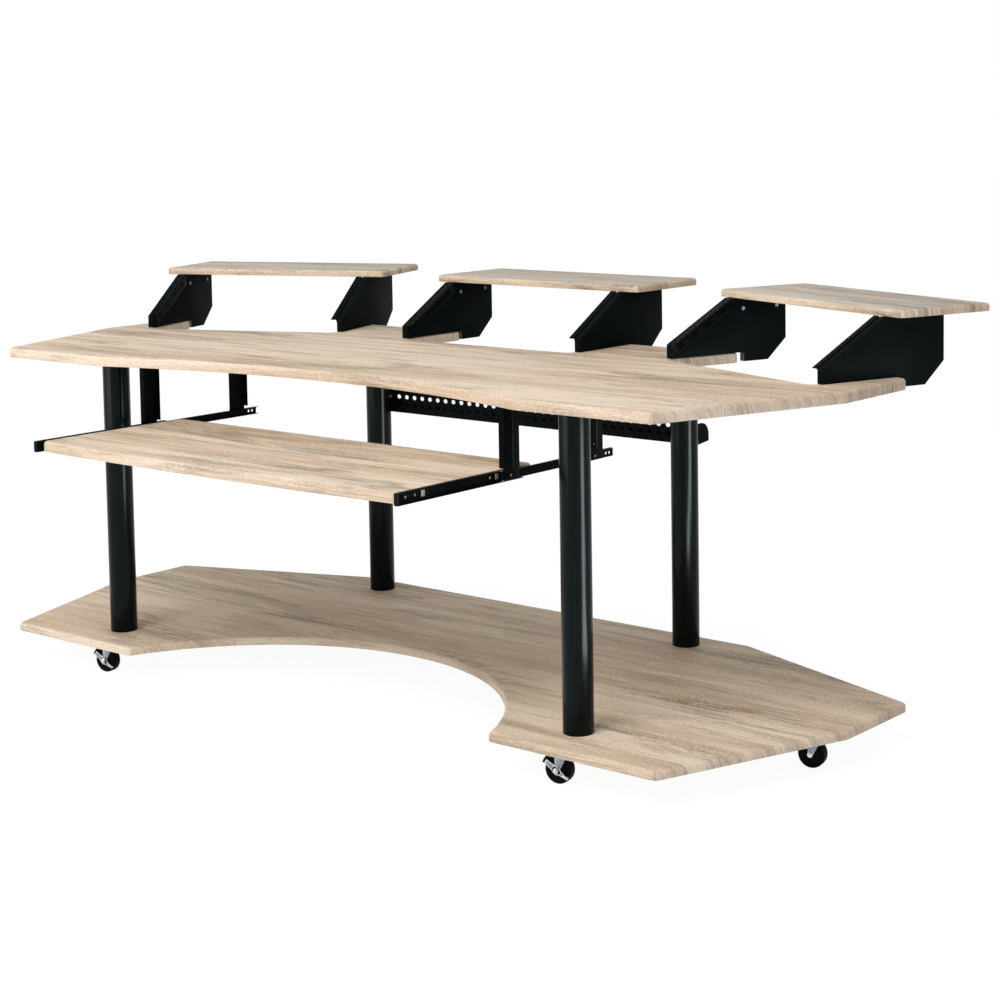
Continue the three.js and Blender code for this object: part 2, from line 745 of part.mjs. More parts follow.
// The fork with its axle. The wheel trails behind the swivel axis, towards -X of the caster.
function casterFork(name, braked) {
  const crownTop = casterHeight - casterPlateThickness - raceHeight - crownGap;
  const crownZ = crownTop - crownThickness;
  const inner = wheelWidth / 2 + forkClearance;
  const outer = inner + forkSheet;
  const leg = [point(-forkBack, crownTop)];
  for (let i = 0; i <= cornerSteps; i++) {
    const angle = Math.PI + (Math.PI * i) / cornerSteps;
    leg.push(
      point(-casterTrail + forkEndRadius * Math.cos(angle), wheelRadius + forkEndRadius * Math.sin(angle)),
    );
  }
  leg.push(point(forkFront, crownTop));
  const lever = braked ? fitGap + brakeSheet + fitGap : 0;
  const body = join(
    alongY(leg, inner, outer),
    alongY(leg, -outer, -inner),
    block(-forkBack, forkFront, -outer, outer, crownZ, crownTop),
    barY(axleRadius, -casterTrail, wheelRadius, -outer - lever - axleHead / 2, outer + axleHead / 2, axleSides),
    barY(axleHeadRadius, -casterTrail, wheelRadius, outer, outer + axleHead, axleSides),
    barY(axleHeadRadius, -casterTrail, wheelRadius, -outer - lever - axleHead, -outer - lever, axleSides),
  );
  const pinHole = barZ(kingpinRadius + fitGap, 0, 0, crownZ - cutOverrun, crownTop + cutOverrun, boltSides);
  return piece("caster_fork_" + name, cut(body, pinHole), zinc);
}

// The wheel, turned about its own axis and laid onto the fork's axle
function casterWheel(name) {
  const half = wheelWidth / 2;
  const bore = axleRadius + fitGap;
  const profile = [
    point(bore, -half),
    point(wheelHubRadius, -half),
    point(wheelHubRadius + wheelHubInset, -half + wheelHubInset),
    point(wheelRadius - 2 * wheelShoulder, -half + wheelHubInset),
    point(wheelRadius - wheelShoulder, -half),
    point(wheelRadius, -half + wheelShoulder),
    point(wheelRadius, half - wheelShoulder),
    point(wheelRadius - wheelShoulder, half),
    point(wheelRadius - 2 * wheelShoulder, half - wheelHubInset),
    point(wheelHubRadius + wheelHubInset, half - wheelHubInset),
    point(wheelHubRadius, half),
    point(bore, half),
    point(bore, -half),
  ];
  const node = piece("caster_wheel_" + name, turned(profile, wheelSides), blackRubber);
  node.rotation.x = Math.PI / 2;
  node.position.set(-casterTrail, 0, wheelRadius);
  return node;
}

// The pedal lever that turns on the axle's near end, drawn about the axle
function brakeLever(name) {
  const outer = wheelWidth / 2 + forkClearance + forkSheet;
  const spread = brakeFrontReach * brakeSpreadShare;
  const flat = [
    point(-brakeBackReach, -brakeWidth / 2),
    point(spread, -brakeWidth / 2),
    point(brakeFrontReach, -brakeTailWidth / 2),
    point(brakeFrontReach, brakeTailWidth / 2),
    point(spread, brakeWidth / 2),
    point(-brakeBackReach, brakeWidth / 2),
  ];
  const tilted = flat.map((p) => p.rotateAround(point(0, 0), -brakeAngle));
  const nearY = -outer - fitGap;
  const plate = alongY(tilted, nearY - brakeSheet, nearY);
  const hole = barY(axleRadius + fitGap, 0, 0, nearY - brakeSheet - cutOverrun, nearY + cutOverrun, axleSides);
  const node = piece("caster_brake_lever_" + name, cut(plate, hole), chrome);
  node.position.set(-casterTrail, 0, wheelRadius);
  return node;
}

// The foot pad, bent around the tread behind the fork and fixed to the lever
function brakePad(name) {
  const inside = wheelRadius + padInnerGap;
  const outside = inside + padThickness;
  const outline = [];
  for (let i = 0; i <= padSteps; i++) {
    const angle = padStart + ((padEnd - padStart) * i) / padSteps;
    outline.push(point(outside * Math.cos(angle), outside * Math.sin(angle)));
  }
  for (let i = padSteps; i >= 0; i--) {
    const angle = padStart + ((padEnd - padStart) * i) / padSteps;
    outline.push(point(inside * Math.cos(angle), inside * Math.sin(angle)));
  }
  const outer = wheelWidth / 2 + forkClearance + forkSheet;
  const node = piece("caster_brake_pad_" + name, alongY(outline, -outer, outer), blackRubber);
  node.position.set(-casterTrail, 0, wheelRadius);
  return node;
}

// A caster whose wheel stands at (x, y) on the floor. Its mount stays square to the desk.
function caster(name, x, y, braked) {
  const ahead = point(casterTrail, 0).rotateAround(point(0, 0), casterTurn);
  const mount = casterMount(name);
  const swivel = new THREE.Group();
  swivel.rotation.z = casterTurn;
  swivel.add(casterFork(name, braked), casterWheel(name));
  if (braked) swivel.add(brakeLever(name), brakePad(name));
  const group = new THREE.Group();
  group.position.set(x + ahead.x, y + ahead.y, 0);
  group.add(mount, swivel);
  return group;
}

const desk = new THREE.Group();
desk.add(baseBoard(), desktop());
for (const place of legPlaces()) desk.add(leg(place), legBolt(place));
desk.add(
  rackBay("left", -sideBayCentre.x, sideBayCentre.y, -slantAngle),
  rackBay("centre", 0, rearY, 0),
  rackBay("right", sideBayCentre.x, sideBayCentre.y, slantAngle),
);
desk.add(keyboardShelf());
for (const [name, side] of [["left", -1], ["right", 1]]) {
  desk.add(
    drawerMember("slide_drawer_member_" + name, side),
    fixedMember("slide_fixed_member_" + name, side),
    ballCage("slide_ball_cage_" + name, side),
    slideHanger("slide_hanger_front_" + name, side, fixedMemberFrontY + hangerFrontInset),
    slideHanger("slide_hanger_rear_" + name, side, fixedMemberRearY - hangerRearInset - hangerWidth),
    caster("front_" + name, side * (footCutHalf + frontWheelBeside), frontY + frontWheelBack, true),
    caster("side_" + name, side * (sideHalf - sideWheelInset), sideFrontY - sideWheelAhead, false),
    caster("rear_" + name, side * (rearHalf - rearWheelInset), rearY - rearWheelAhead, false),
  );
}
desk.add(cableTray());

// The origin is on the floor below the middle of the whole desk
const middle = new THREE.Box3().setFromObject(desk).getCenter(new THREE.Vector3());
desk.position.y = -middle.y;

const group = new THREE.Group();
group.add(desk);
export default group;
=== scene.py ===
# A wide studio desk on casters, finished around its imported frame
import json
import math
from collections import namedtuple

import bpy
from bpy.props import FloatProperty, FloatVectorProperty, IntProperty, PointerProperty
from mathutils import Color, Matrix, Vector


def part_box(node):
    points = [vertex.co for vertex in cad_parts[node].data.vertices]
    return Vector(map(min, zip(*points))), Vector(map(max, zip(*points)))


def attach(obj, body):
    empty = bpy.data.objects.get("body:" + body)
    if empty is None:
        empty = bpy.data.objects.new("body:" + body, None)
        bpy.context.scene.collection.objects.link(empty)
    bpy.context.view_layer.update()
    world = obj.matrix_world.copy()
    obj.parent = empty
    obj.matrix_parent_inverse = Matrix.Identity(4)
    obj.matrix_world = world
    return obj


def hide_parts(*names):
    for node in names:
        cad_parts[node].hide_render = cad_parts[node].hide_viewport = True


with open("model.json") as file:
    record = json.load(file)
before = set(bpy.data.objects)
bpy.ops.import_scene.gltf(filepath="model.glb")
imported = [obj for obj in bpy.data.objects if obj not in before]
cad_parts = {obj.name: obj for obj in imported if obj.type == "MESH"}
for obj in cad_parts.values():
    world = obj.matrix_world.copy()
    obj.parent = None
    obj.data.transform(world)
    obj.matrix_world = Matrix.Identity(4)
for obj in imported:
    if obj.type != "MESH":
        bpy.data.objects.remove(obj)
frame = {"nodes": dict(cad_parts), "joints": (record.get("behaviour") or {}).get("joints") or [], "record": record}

bl_info = {
    "name": "Studio Desk",
    "version": (1, 0, 0),
    "blender": (4, 5, 0),
    "location": "View3D > Sidebar > Studio Desk",
    "description": "Models and finishes a wide studio desk around its packed frame",
    "category": "Add Mesh",
}

DESK = "desk_frame"
TRAY = "keyboard_tray"
BAYS = ("left", "centre", "right")
SIDES = ("left", "right")
CORNERS = ("front_left", "front_right", "rear_left", "rear_right")
CASTERS = ("front_left", "front_right", "side_left", "side_right", "rear_left", "rear_right")
BRAKED = ("front_left", "front_right")
BOARDS = {
    "base_board": DESK,
    "desktop": DESK,
    "left_riser_shelf": DESK,
    "centre_riser_shelf": DESK,
    "right_riser_shelf": DESK,
    "keyboard_shelf": TRAY,
}

MM = 0.001
NEAR = 0.05 * MM  # two places closer than this are one
FACING = 0.9  # a normal that reaches this far along an axis faces that way
TOWARDS = 0.5  # and one that reaches this far faces roughly that way
MERGED = 0.01 * MM  # corners this close become one
FLAT = math.radians(0.5)  # faces that meet this flatly become one
RIGHT_ANGLE = math.pi / 2
FULL_TURN = 2 * math.pi
SMOOTH_ANGLE = math.radians(30)
LEVER_SLOPE = math.radians(33)  # a brake lever falls to the front
RACK_UNIT = 44.45 * MM
RACK_HOLES = (6.35 * MM, 22.225 * MM, 38.1 * MM)  # from the start of each unit
SHEET_EDGE = 0.3 * MM  # radius of the drilled sheets' edges
UP = Vector((0, 0, 1))
WHITE = (1, 1, 1, 1)

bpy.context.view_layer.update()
MOUNTS = {mount["name"]: mount for mount in frame["record"]["mounts"]}
JOINTS = {joint["name"]: joint for joint in frame["joints"]}


def colour_setting(name, description, red, green, blue):
    """A colour of the finishes, given as it looks on a screen"""
    return FloatVectorProperty(
        name=name,
        description=description,
        subtype="COLOR_GAMMA",
        size=3,
        min=0,
        max=1,
        default=(red / 255, green / 255, blue / 255),
    )


def number_setting(name, description, default, **limits):
    return FloatProperty(name=name, description=description, default=default, **limits)


def length_setting(name, description, default):
    return number_setting(name, description, default, min=0, unit="LENGTH")


def angle_setting(name, description, degrees):
    return number_setting(name, description, math.radians(degrees), unit="ROTATION")


def power_setting(name, description, watts):
    return number_setting(name, description, watts, min=0, unit="POWER")


def count_setting(name, description, default, least):
    return IntProperty(name=name, description=description, default=default, min=least)


class BoardSettings(bpy.types.PropertyGroup):
    """Edges and colours of the oak boards"""

    edge_round: length_setting("Edge round", "Radius of the boards' upper edge", 7 * MM)
    edge_steps: count_setting("Edge steps", "Faces across the upper edge", 6, 1)
    lower_round: length_setting("Lower round", "Radius of the boards' lower edge", 1.1 * MM)
    lower_steps: count_setting("Lower steps", "Faces across the lower edge", 3, 1)
    cream: colour_setting("Cream", "Lightest streaks of the oak", 250, 231, 207)
    tan: colour_setting("Tan", "Main tone of the oak", 225, 200, 172)
    grey: colour_setting("Grey", "Greyed streaks of the oak", 168, 149, 125)
    brown: colour_setting("Brown", "Darkest streaks of the oak", 118, 101, 79)
    # Painted reflection: a cooler, greyer tone multiplied over the raised shelves' tops, standing in for the room
    # reflected at a grazing view
    raised_tone: colour_setting("Raised tone", "Cooler tone over the raised shelves' tops", 228, 235, 246)
    # Partly a painted highlight: a paler, pinker tone over the large boards' edges, partly the foil's own paler
    # tone where it wraps the edge
    edge_wash: colour_setting("Edge wash", "Pale veil on the large boards' edges", 243, 222, 206)
    underside: colour_setting("Underside", "Plain underside of the boards", 205, 199, 188)


class FrameSettings(bpy.types.PropertyGroup):
    """Roundings and colours of the black tubes, boards and sheets"""

    tube_sides: count_setting("Tube sides", "Faces around a leg", 96, 12)
    tube_round: length_setting("Tube round", "Radius of a leg's end edges", 1.2 * MM)
    panel_round: length_setting("Panel round", "Radius of the bay boards' edges", 0.8 * MM)
    sheet_round: length_setting("Sheet round", "Radius of the sheet edges", 0.25 * MM)
    tube_black: colour_setting("Tube black", "Powder coat of the legs", 6, 16, 16)
    panel_black: colour_setting("Panel black", "Laminate of the bay boards", 14, 20, 20)
    sheet_black: colour_setting("Sheet black", "Paint of the rails, slides and tray", 7, 10, 11)
    tray_black: colour_setting("Tray black", "Paint of the cable tray", 14, 20, 19)
    raw_edge: colour_setting("Raw edge", "Bare chipboard where the laminate ends", 128, 112, 74)


class HardwareSettings(bpy.types.PropertyGroup):
    """Sizes and colours of the screws and casters"""

    hole_sides: count_setting("Hole sides", "Faces around a round hole", 20, 8)
    wheel_sides: count_setting("Wheel sides", "Faces around a wheel", 72, 24)
    cam_radius: length_setting("Cam radius", "Radius of the cam heads in the bay boards", 5.6 * MM)
    screw_radius: length_setting("Screw radius", "Radius of the slides' screw heads", 3.6 * MM)
    zinc: colour_setting("Zinc", "Plated steel of the casters", 148, 160, 167)
    # Painted dark reflection: zinc darkened for the rings of the cams and screws, which reflect dark surroundings
    cam_zinc: colour_setting("Cam zinc", "Darker plating of the cams and screws", 44, 52, 57)
    chrome: colour_setting("Chrome", "Polished brake levers and nuts", 222, 223, 219)
    rubber: colour_setting("Rubber", "Wheels", 12, 15, 14)
    plastic: colour_setting("Plastic", "Brake pedals and slide caps", 12, 14, 14)


class StageSettings(bpy.types.PropertyGroup):
    """Camera and light"""

    camera_place: FloatVectorProperty(
        name="Camera place",
        description="Where the camera stands",
        subtype="XYZ",
        unit="LENGTH",
        default=(3.0452, -3.2787, 1.2635),
    )
    camera_turn: angle_setting("Camera turn", "Turn to the left from +Y", 38.413)
    camera_dip: angle_setting("Camera dip", "Tilt below the level", 4.799)
    camera_roll: angle_setting("Camera roll", "Roll about the view", -0.761)
    focal_share: number_setting("Focal share", "Focal length over the sensor's width", 2.0605, min=0.1)
    shift_across: number_setting("Shift across", "Lens shift to the right", -0.08)
    shift_up: number_setting("Shift up", "Lens shift upwards", -0.22)
    ambient: number_setting("Ambient", "Strength of the room's light", 0.37, min=0)
    key_watts: power_setting("Key", "Large light above the front", 136)
    fill_watts: power_setting("Fill", "Low light on the front", 52)
    streak: number_setting("Streak", "Brightness of the lights that only glosses show", 24, min=0)


# Shader maths

MIX_COLOURS = 6  # the number of the Mix node's first colour socket
MIX_RESULT = 2  # the number of its colour output


class Value:
    """A number, colour or shader on a node tree. Python's operators add its Math nodes."""

    def __init__(self, tree, socket):
        self.tree = tree
        self.socket = socket

    def __add__(self, other):
        return self.tree.maths("ADD", self, other)

    def __radd__(self, other):
        return self.tree.maths("ADD", other, self)

    def __mul__(self, other):
        return self.tree.maths("MULTIPLY", self, other)

    def __rmul__(self, other):
        return self.tree.maths("MULTIPLY", other, self)

    def __pow__(self, other):
        return self.tree.maths("POWER", self, other)

    def __rpow__(self, other):
        return self.tree.maths("POWER", other, self)

    def between(self, low, high):
        """0 at low, 1 at high, and smooth in between"""
        settings = {"interpolation_type": "SMOOTHSTEP", "clamp": True}
        return self.tree.node("ShaderNodeMapRange", settings, self, low, high)


class Tree:
    """The nodes of a material or a world, added one by one"""

    def __init__(self, owner):
        owner.use_nodes = True
        self.nodes = owner.node_tree.nodes
        self.links = owner.node_tree.links

    def node(self, kind, settings, *values, output=0, **named):
        """Adds a node: first its settings, then its sockets in order or by name"""
        node = self.nodes.new(kind)
        for key, setting in settings.items():
            setattr(node, key, setting)
        for key, value in [*enumerate(values), *named.items()]:
            self.feed(node, key, value)
        return Value(self, node.outputs[output])

    def feed(self, node, key, value):
        """Links or sets one socket, by its number or its name. None leaves it as it is."""
        socket = node.inputs[key.replace("_", " ") if isinstance(key, str) else key]
        if isinstance(value, Value):
            self.links.new(value.socket, socket)
        elif value is not None:
            socket.default_value = value

    def maths(self, operation, *values, clamp=False):
        return self.node("ShaderNodeMath", {"operation": operation, "use_clamp": clamp}, *values)


class Finish(Tree):
    """A material and its shader"""

    def __init__(self, name):
        self.material = bpy.data.materials.new(name)
        super().__init__(self.material)
        self.shader = self.nodes["Principled BSDF"]

    def place(self, scale=(1, 1, 1)):
        """Object coordinates in metres, scaled"""
        object_place = self.node("ShaderNodeTexCoord", {}, output="Object")
        return self.node("ShaderNodeMapping", {}, object_place, Scale=scale)

    def noise(self, place, scale=1.0, detail=2.0, roughness=0.5, distortion=0.0):
        sockets = {"Scale": scale, "Detail": detail, "Roughness": roughness, "Distortion": distortion}
        return self.node("ShaderNodeTexNoise", {}, Vector=place, **sockets)

    def mix(self, share, first, second, blend="MIX"):
        """Blends two colours"""
        settings = {"data_type": "RGBA", "blend_type": blend}
        unused = [None] * (MIX_COLOURS - 1)
        return self.node("ShaderNodeMix", settings, share, *unused, first, second, output=MIX_RESULT)

    def bump(self, height, distance):
        return self.node("ShaderNodeBump", {}, Height=height, Distance=distance, Strength=1.0)

    def surface(self, **sockets):
        """Feeds the shader's own sockets"""
        for key, value in sockets.items():
            self.feed(self.shader, key, value)
        return self.material


def linear(shade):
    """A screen colour as the shader's linear light, with its alpha"""
    return (*Color(shade).from_srgb_to_scene_linear(), 1)


# Noise in the oak foil, in cells per metre along and across the grain
Noise = namedtuple("Noise", "along across detail roughness distortion", defaults=(0,))
OAK_NOISE = {
    "broad": Noise(0.7, 8, 3, 0.6, 0.3),
    "streaks": Noise(2.4, 36, 4, 0.65, 0.35),
    "lines": Noise(5, 115, 3, 0.65, 0.2),
    "smoke": Noise(2.0, 10, 4, 0.6, 0.7),
    "drift": Noise(1.8, 7, 3, 0.55, 0.4),
    "fibres": Noise(14, 420, 3, 0.65),
    "pores": Noise(60, 900, 2, 0.6),
    "flecks": Noise(120, 240, 3, 0.65),
    "sway": Noise(1.1, 4.5, 2, 0.5),
    "patches": Noise(2.4, 11, 2, 0.5),
}
# Tones laid over each other in this order. Each shows where its noise goes from none to all.
Coat = namedtuple("Coat", "noise none all share tone")
OAK_COATS = {
    "grey_streaks": Coat("streaks", 0.5, 0.66, 0.6, "grey"),
    "cream_streaks": Coat("streaks", 0.45, 0.35, 0.6, "cream"),
    "arches": Coat("smoke", 0.46, 0.6, 0.5, "grey"),
    "grey_lines": Coat("lines", 0.54, 0.68, 0.7, "grey"),
    "smudges": Coat("smoke", 0.52, 0.7, 1, "brown"),
    "cream_lines": Coat("lines", 0.45, 0.34, 0.6, "cream"),
    "grey_fibres": Coat("fibres", 0.54, 0.7, 0.45, "grey"),
    "cream_fibres": Coat("fibres", 0.46, 0.32, 0.4, "cream"),
    "grey_flecks": Coat("flecks", 0.54, 0.66, 0.5, "grey"),
    "cream_flecks": Coat("flecks", 0.46, 0.34, 0.5, "cream"),
    "open_pores": Coat("pores", 0.58, 0.74, 0.45, "brown"),
    "saw_marks": Coat("patches", 0.46, 0.6, 0.4, "cream"),
}
RINGS, RING_SWAY, RING_WAVER = 95, 34, 3.5  # rings per metre, and how far noise bends them
RING_SHARPNESS = 3
SMUDGE_GROUND, SMUDGE_LINED = 0.34, 0.4  # of a smudge, and what the lines add to it
SAW_ALONG, SAW_SLANT, SAW_ACROSS = 260, 120, 30  # cells per metre
OAK_ROUGHNESS, OAK_ROUGH_FIBRES, OAK_GLOSS = 0.55, 0.12, 0.15
OAK_RELIEF, FIBRE_RELIEF, PORE_RELIEF, SAW_RELIEF = 0.12 * MM, 0.6, 0.4, 0.35  # the whole, and shares of it
EDGE_TINT_AND_HIGHLIGHT = 0.15  # how much of the paler edge tone, partly a painted highlight, lies over the large boards' edges


def oak_finish(name, settings, raised, edge_tint_and_highlight_share):
    """Greyed oak foil: streaks, fine lines and smoky patches, an arched figure, pores and faint saw marks"""
    finish = Finish(name)
    grain = finish.node("ShaderNodeUVMap", {"uv_map": "grain"})
    along, across = (finish.node("ShaderNodeSeparateXYZ", {}, grain, output=axis) for axis in (0, 1))
    noise = {}
    for key, cells in OAK_NOISE.items():
        place = finish.node("ShaderNodeMapping", {}, grain, Scale=(cells.along, cells.across, 1))
        noise[key] = finish.noise(place, 1, cells.detail, cells.roughness, cells.distortion)
    shown = {key: noise[coat.noise].between(coat.none, coat.all) for key, coat in OAK_COATS.items()}
    rings = across * RINGS + noise["sway"] * RING_SWAY + noise["streaks"] * RING_WAVER
    wave = finish.maths("SINE", rings * FULL_TURN)
    shown["arches"] *= (wave * 0.5 + 0.5) ** RING_SHARPNESS
    shown["grey_lines"] *= noise["drift"].between(0.42, 0.64)
    shown["smudges"] *= SMUDGE_GROUND + noise["lines"].between(0.44, 0.58) * SMUDGE_LINED
    saw = finish.node("ShaderNodeCombineXYZ", {}, along * SAW_ALONG + across * SAW_SLANT, across * SAW_ACROSS)
    shown["saw_marks"] *= finish.noise(saw, roughness=0.6).between(0.5, 0.62)
    ground = noise["broad"].between(0.42, 0.58)
    colour = finish.mix(ground, linear(settings.tan), linear(settings.cream))
    for key, coat in OAK_COATS.items():
        colour = finish.mix(shown[key] * coat.share, colour, linear(getattr(settings, coat.tone)))
    # Painted reflection: the raised shelves' tops get a cooler, greyer tone
    if raised:
        colour = finish.mix(1, colour, linear(settings.raised_tone), "MULTIPLY")
    # Partly a painted highlight: the large boards' edges get a paler, pinker tone, partly the foil's own
    if edge_tint_and_highlight_share:
        colour = finish.mix(edge_tint_and_highlight_share, colour, linear(settings.edge_wash))
    height = noise["fibres"] * FIBRE_RELIEF + noise["pores"] * PORE_RELIEF + shown["saw_marks"] * SAW_RELIEF
    return finish.surface(
        Base_Color=colour,
        Roughness=OAK_ROUGHNESS + noise["fibres"] * OAK_ROUGH_FIBRES,
        Specular_IOR_Level=OAK_GLOSS,
        Normal=finish.bump(height, OAK_RELIEF),
    )


# Painted, printed and moulded surfaces. The grain is in cells per metre.
Paint = namedtuple("Paint", "group colour roughness grain relief gloss mottle", defaults=(0.12,))
PAINTS = {
    "underside": Paint("desk_boards", "underside", 0.6, 900, 0.03 * MM, 0.5, 0.04),
    "tube_black": Paint("desk_frame", "tube_black", 0.2, 1400, 0.006 * MM, 0.1),
    "panel_black": Paint("desk_frame", "panel_black", 0.5, 750, 0.16 * MM, 0.012),
    "sheet_black": Paint("desk_frame", "sheet_black", 0.36, 1600, 0.015 * MM, 0.02),
    "tray_black": Paint("desk_frame", "tray_black", 0.42, 1200, 0.02 * MM, 0.02),
    "tyre_rubber": Paint("desk_hardware", "rubber", 0.5, 1100, 0.03 * MM, 0.03),
    "moulded_plastic": Paint("desk_hardware", "plastic", 0.45, 1300, 0.04 * MM, 0.08),
}
Plating = namedtuple("Plating", "colour roughness")
PLATINGS = {
    "zinc_plate": Plating("zinc", 0.3),
    # The cams' and screws' darkened zinc: a painted dark reflection
    "cam_plate": Plating("cam_zinc", 0.34),
    "chrome_plate": Plating("chrome", 0.12),
}
# Cells per metre, and shares of the tone, the roughness and the height
USUAL = (0.35, 0.65)  # most of a noise's values lie between these
DRIFT_CELLS, DRIFT_SHARE = 18, 0.6
CLOUD_CELLS, CLOUD_DARK, CLOUD_ROUGH = 55, 0.86, 0.1
SCRATCH_CELLS, SCRATCH_LENGTH, SCRATCH_ROUGH, SCRATCH_RELIEF = 900, 6, 0.08, 0.02 * MM
SCRATCHED = (0.55, 0.7)
CHIP_CELLS, CHIP_FLATNESS, CHIP_DARK, CHIP_RELIEF = 420, 2.2, 0.62, 0.3 * MM


def painted_finish(name, shade, paint):
    """A moulded or painted surface: its tone drifts slightly and a fine grain breaks its gloss"""
    finish = Finish(name)
    drift = finish.noise(finish.place(), DRIFT_CELLS, detail=3)
    fine = finish.noise(finish.place(), paint.grain, detail=3, roughness=0.6)
    *channels, alpha = linear(shade)
    lighter = (*[min(1, c * (1 + 2 * paint.mottle)) for c in channels], alpha)
    darker = (*[c * (1 - paint.mottle) for c in channels], alpha)
    lightness = drift.between(*USUAL) * DRIFT_SHARE + fine.between(*USUAL) * (1 - DRIFT_SHARE)
    smoothest = paint.roughness * (1 - paint.mottle)
    return finish.surface(
        Base_Color=finish.mix(lightness, darker, lighter),
        Roughness=smoothest + (drift + fine) * (paint.roughness * paint.mottle),
        Specular_IOR_Level=paint.gloss,
        Normal=finish.bump(fine, paint.relief),
    )


def chipboard_finish(name, shade):
    """The raw edge of a board: pressed chips in layers"""
    finish = Finish(name)
    chips = finish.noise(finish.place((1, 1, CHIP_FLATNESS)), CHIP_CELLS, detail=4, roughness=0.7)
    dark = linear([c * CHIP_DARK for c in shade])
    colour = finish.mix(chips.between(0.3, 0.7), dark, linear(shade))
    return finish.surface(Base_Color=colour, Roughness=0.85, Normal=finish.bump(chips, CHIP_RELIEF))


def plated_finish(name, shade, roughness):
    """Zinc or chrome: cloudy plating with fine handling scratches"""
    finish = Finish(name)
    clouds = finish.noise(finish.place(), CLOUD_CELLS, detail=3, roughness=0.6)
    scratches = finish.noise(finish.place((1, SCRATCH_LENGTH, 1)), SCRATCH_CELLS)
    dull = linear([c * CLOUD_DARK for c in shade])
    scratched = scratches.between(*SCRATCHED) * SCRATCH_ROUGH
    return finish.surface(
        Base_Color=finish.mix(clouds.between(*USUAL), linear(shade), dull),
        Roughness=roughness + clouds * CLOUD_ROUGH + scratched,
        Metallic=1.0,
        Normal=finish.bump(scratches, SCRATCH_RELIEF),
    )


def material(name):
    """A finish, made when it is first asked for. No name is one of the frame's own materials."""
    scene = bpy.context.scene
    if name in bpy.data.materials:
        return bpy.data.materials[name]
    if name in PAINTS:
        shade = getattr(getattr(scene, PAINTS[name].group), PAINTS[name].colour)
        return painted_finish(name, shade, PAINTS[name])
    if name in PLATINGS:
        shade = getattr(scene.desk_hardware, PLATINGS[name].colour)
        return plated_finish(name, shade, PLATINGS[name].roughness)
    if name == "raw_edge":
        return chipboard_finish(name, scene.desk_frame.raw_edge)
    # The large boards' edges get a paler tone that is partly a painted highlight
    edge_tint_and_highlight_share = EDGE_TINT_AND_HIGHLIGHT if name == "oak_foil_edge" else 0
    return oak_finish(name, scene.desk_boards, name == "oak_foil_raised", edge_tint_and_highlight_share)


# Modelling by hand


def only(*pieces):
    """Selects these objects and makes the first one active"""
    bpy.ops.object.select_all(action="DESELECT")
    for piece in pieces:
        piece.select_set(True)
    bpy.context.view_layer.objects.active = pieces[0]


def edit(piece, kind, test, *steps):
    """Picks what passes a test, and runs the steps on it in edit mode. The kind is VERT, EDGE or FACE."""
    only(piece)
    mesh = piece.data
    parts = {"VERT": mesh.vertices, "EDGE": mesh.edges, "FACE": mesh.polygons}
    for items in parts.values():
        items.foreach_set("select", [False] * len(items))
    for item in parts[kind]:
        item.select = test(item)
    bpy.context.tool_settings.mesh_select_mode = [kind == name for name in parts]
    bpy.ops.object.mode_set(mode="EDIT")
    for step in steps:
        step()
    bpy.ops.object.mode_set(mode="OBJECT")
    return piece


def inset(thickness, depth=0, each_face=False):
    """A step of edit: insets the picked faces, and moves them outwards by a depth"""
    return lambda: bpy.ops.mesh.inset(thickness=thickness, depth=depth, use_individual=each_face)


def bevel(radius, steps):
    """A step of edit: rounds the picked edges"""
    return lambda: bpy.ops.mesh.bevel(offset=radius, segments=steps, affect="EDGES")


def added(name, data):
    """A new object in the scene, at the origin"""
    piece = bpy.data.objects.new(name, data)
    bpy.context.scene.collection.objects.link(piece)
    return piece


def merged_copy(node):
    """A copy of a CAD node as one clean mesh, with flat faces made whole"""
    piece = added("copy_of_" + node, frame["nodes"][node].data.copy())
    piece.data.materials.clear()
    only(piece)
    bpy.ops.mesh.customdata_custom_splitnormals_clear()
    return edit(
        piece,
        "VERT",
        lambda vertex: True,
        lambda: bpy.ops.mesh.remove_doubles(threshold=MERGED),
        lambda: bpy.ops.mesh.dissolve_limited(angle_limit=FLAT),
    )


def apply_place(piece):
    only(piece)
    bpy.ops.object.transform_apply(location=True, rotation=True, scale=True)
    return piece


def cylinder(radius, depth, centre, sides, turn=(0, 0, 0)):
    """A cylinder along Z, or turned about its centre"""
    bpy.ops.object.select_all(action="DESELECT")
    bpy.ops.mesh.primitive_cylinder_add(
        vertices=sides, radius=radius, depth=depth, location=centre, rotation=turn
    )
    return apply_place(bpy.context.object)


def cross_cylinder(radius, depth, centre, sides):
    """A cylinder along Y"""
    return cylinder(radius, depth, centre, sides, (RIGHT_ANGLE, 0, 0))


def cuboid(low, high):
    """A block between two corners"""
    bpy.ops.object.select_all(action="DESELECT")
    bpy.ops.mesh.primitive_cube_add(size=1, location=(Vector(low) + Vector(high)) / 2)
    bpy.context.object.scale = [abs(b - a) for a, b in zip(low, high)]
    return apply_place(bpy.context.object)


def made_oval(piece, share):
    """Stretches a piece along X, about the origin"""
    only(piece)
    bpy.ops.transform.resize(value=(share, 1, 1), center_override=(0, 0, 0))
    return apply_place(piece)


def joined(pieces):
    """Several loose parts as one piece"""
    only(*pieces)
    if len(pieces) > 1:
        bpy.ops.object.join()
    return pieces[0]


def apply_modifier(piece, modifier):
    only(piece)
    bpy.ops.object.modifier_apply(modifier=modifier.name)
    return piece


def combined(piece, tool, operation):
    """Unites a piece with a tool or cuts the tool out of it. The tool is used up."""
    modifier = piece.modifiers.new("tool", "BOOLEAN")
    modifier.object = tool
    modifier.operation = operation
    modifier.solver = "EXACT"
    apply_modifier(piece, modifier)
    bpy.data.objects.remove(tool)
    return piece


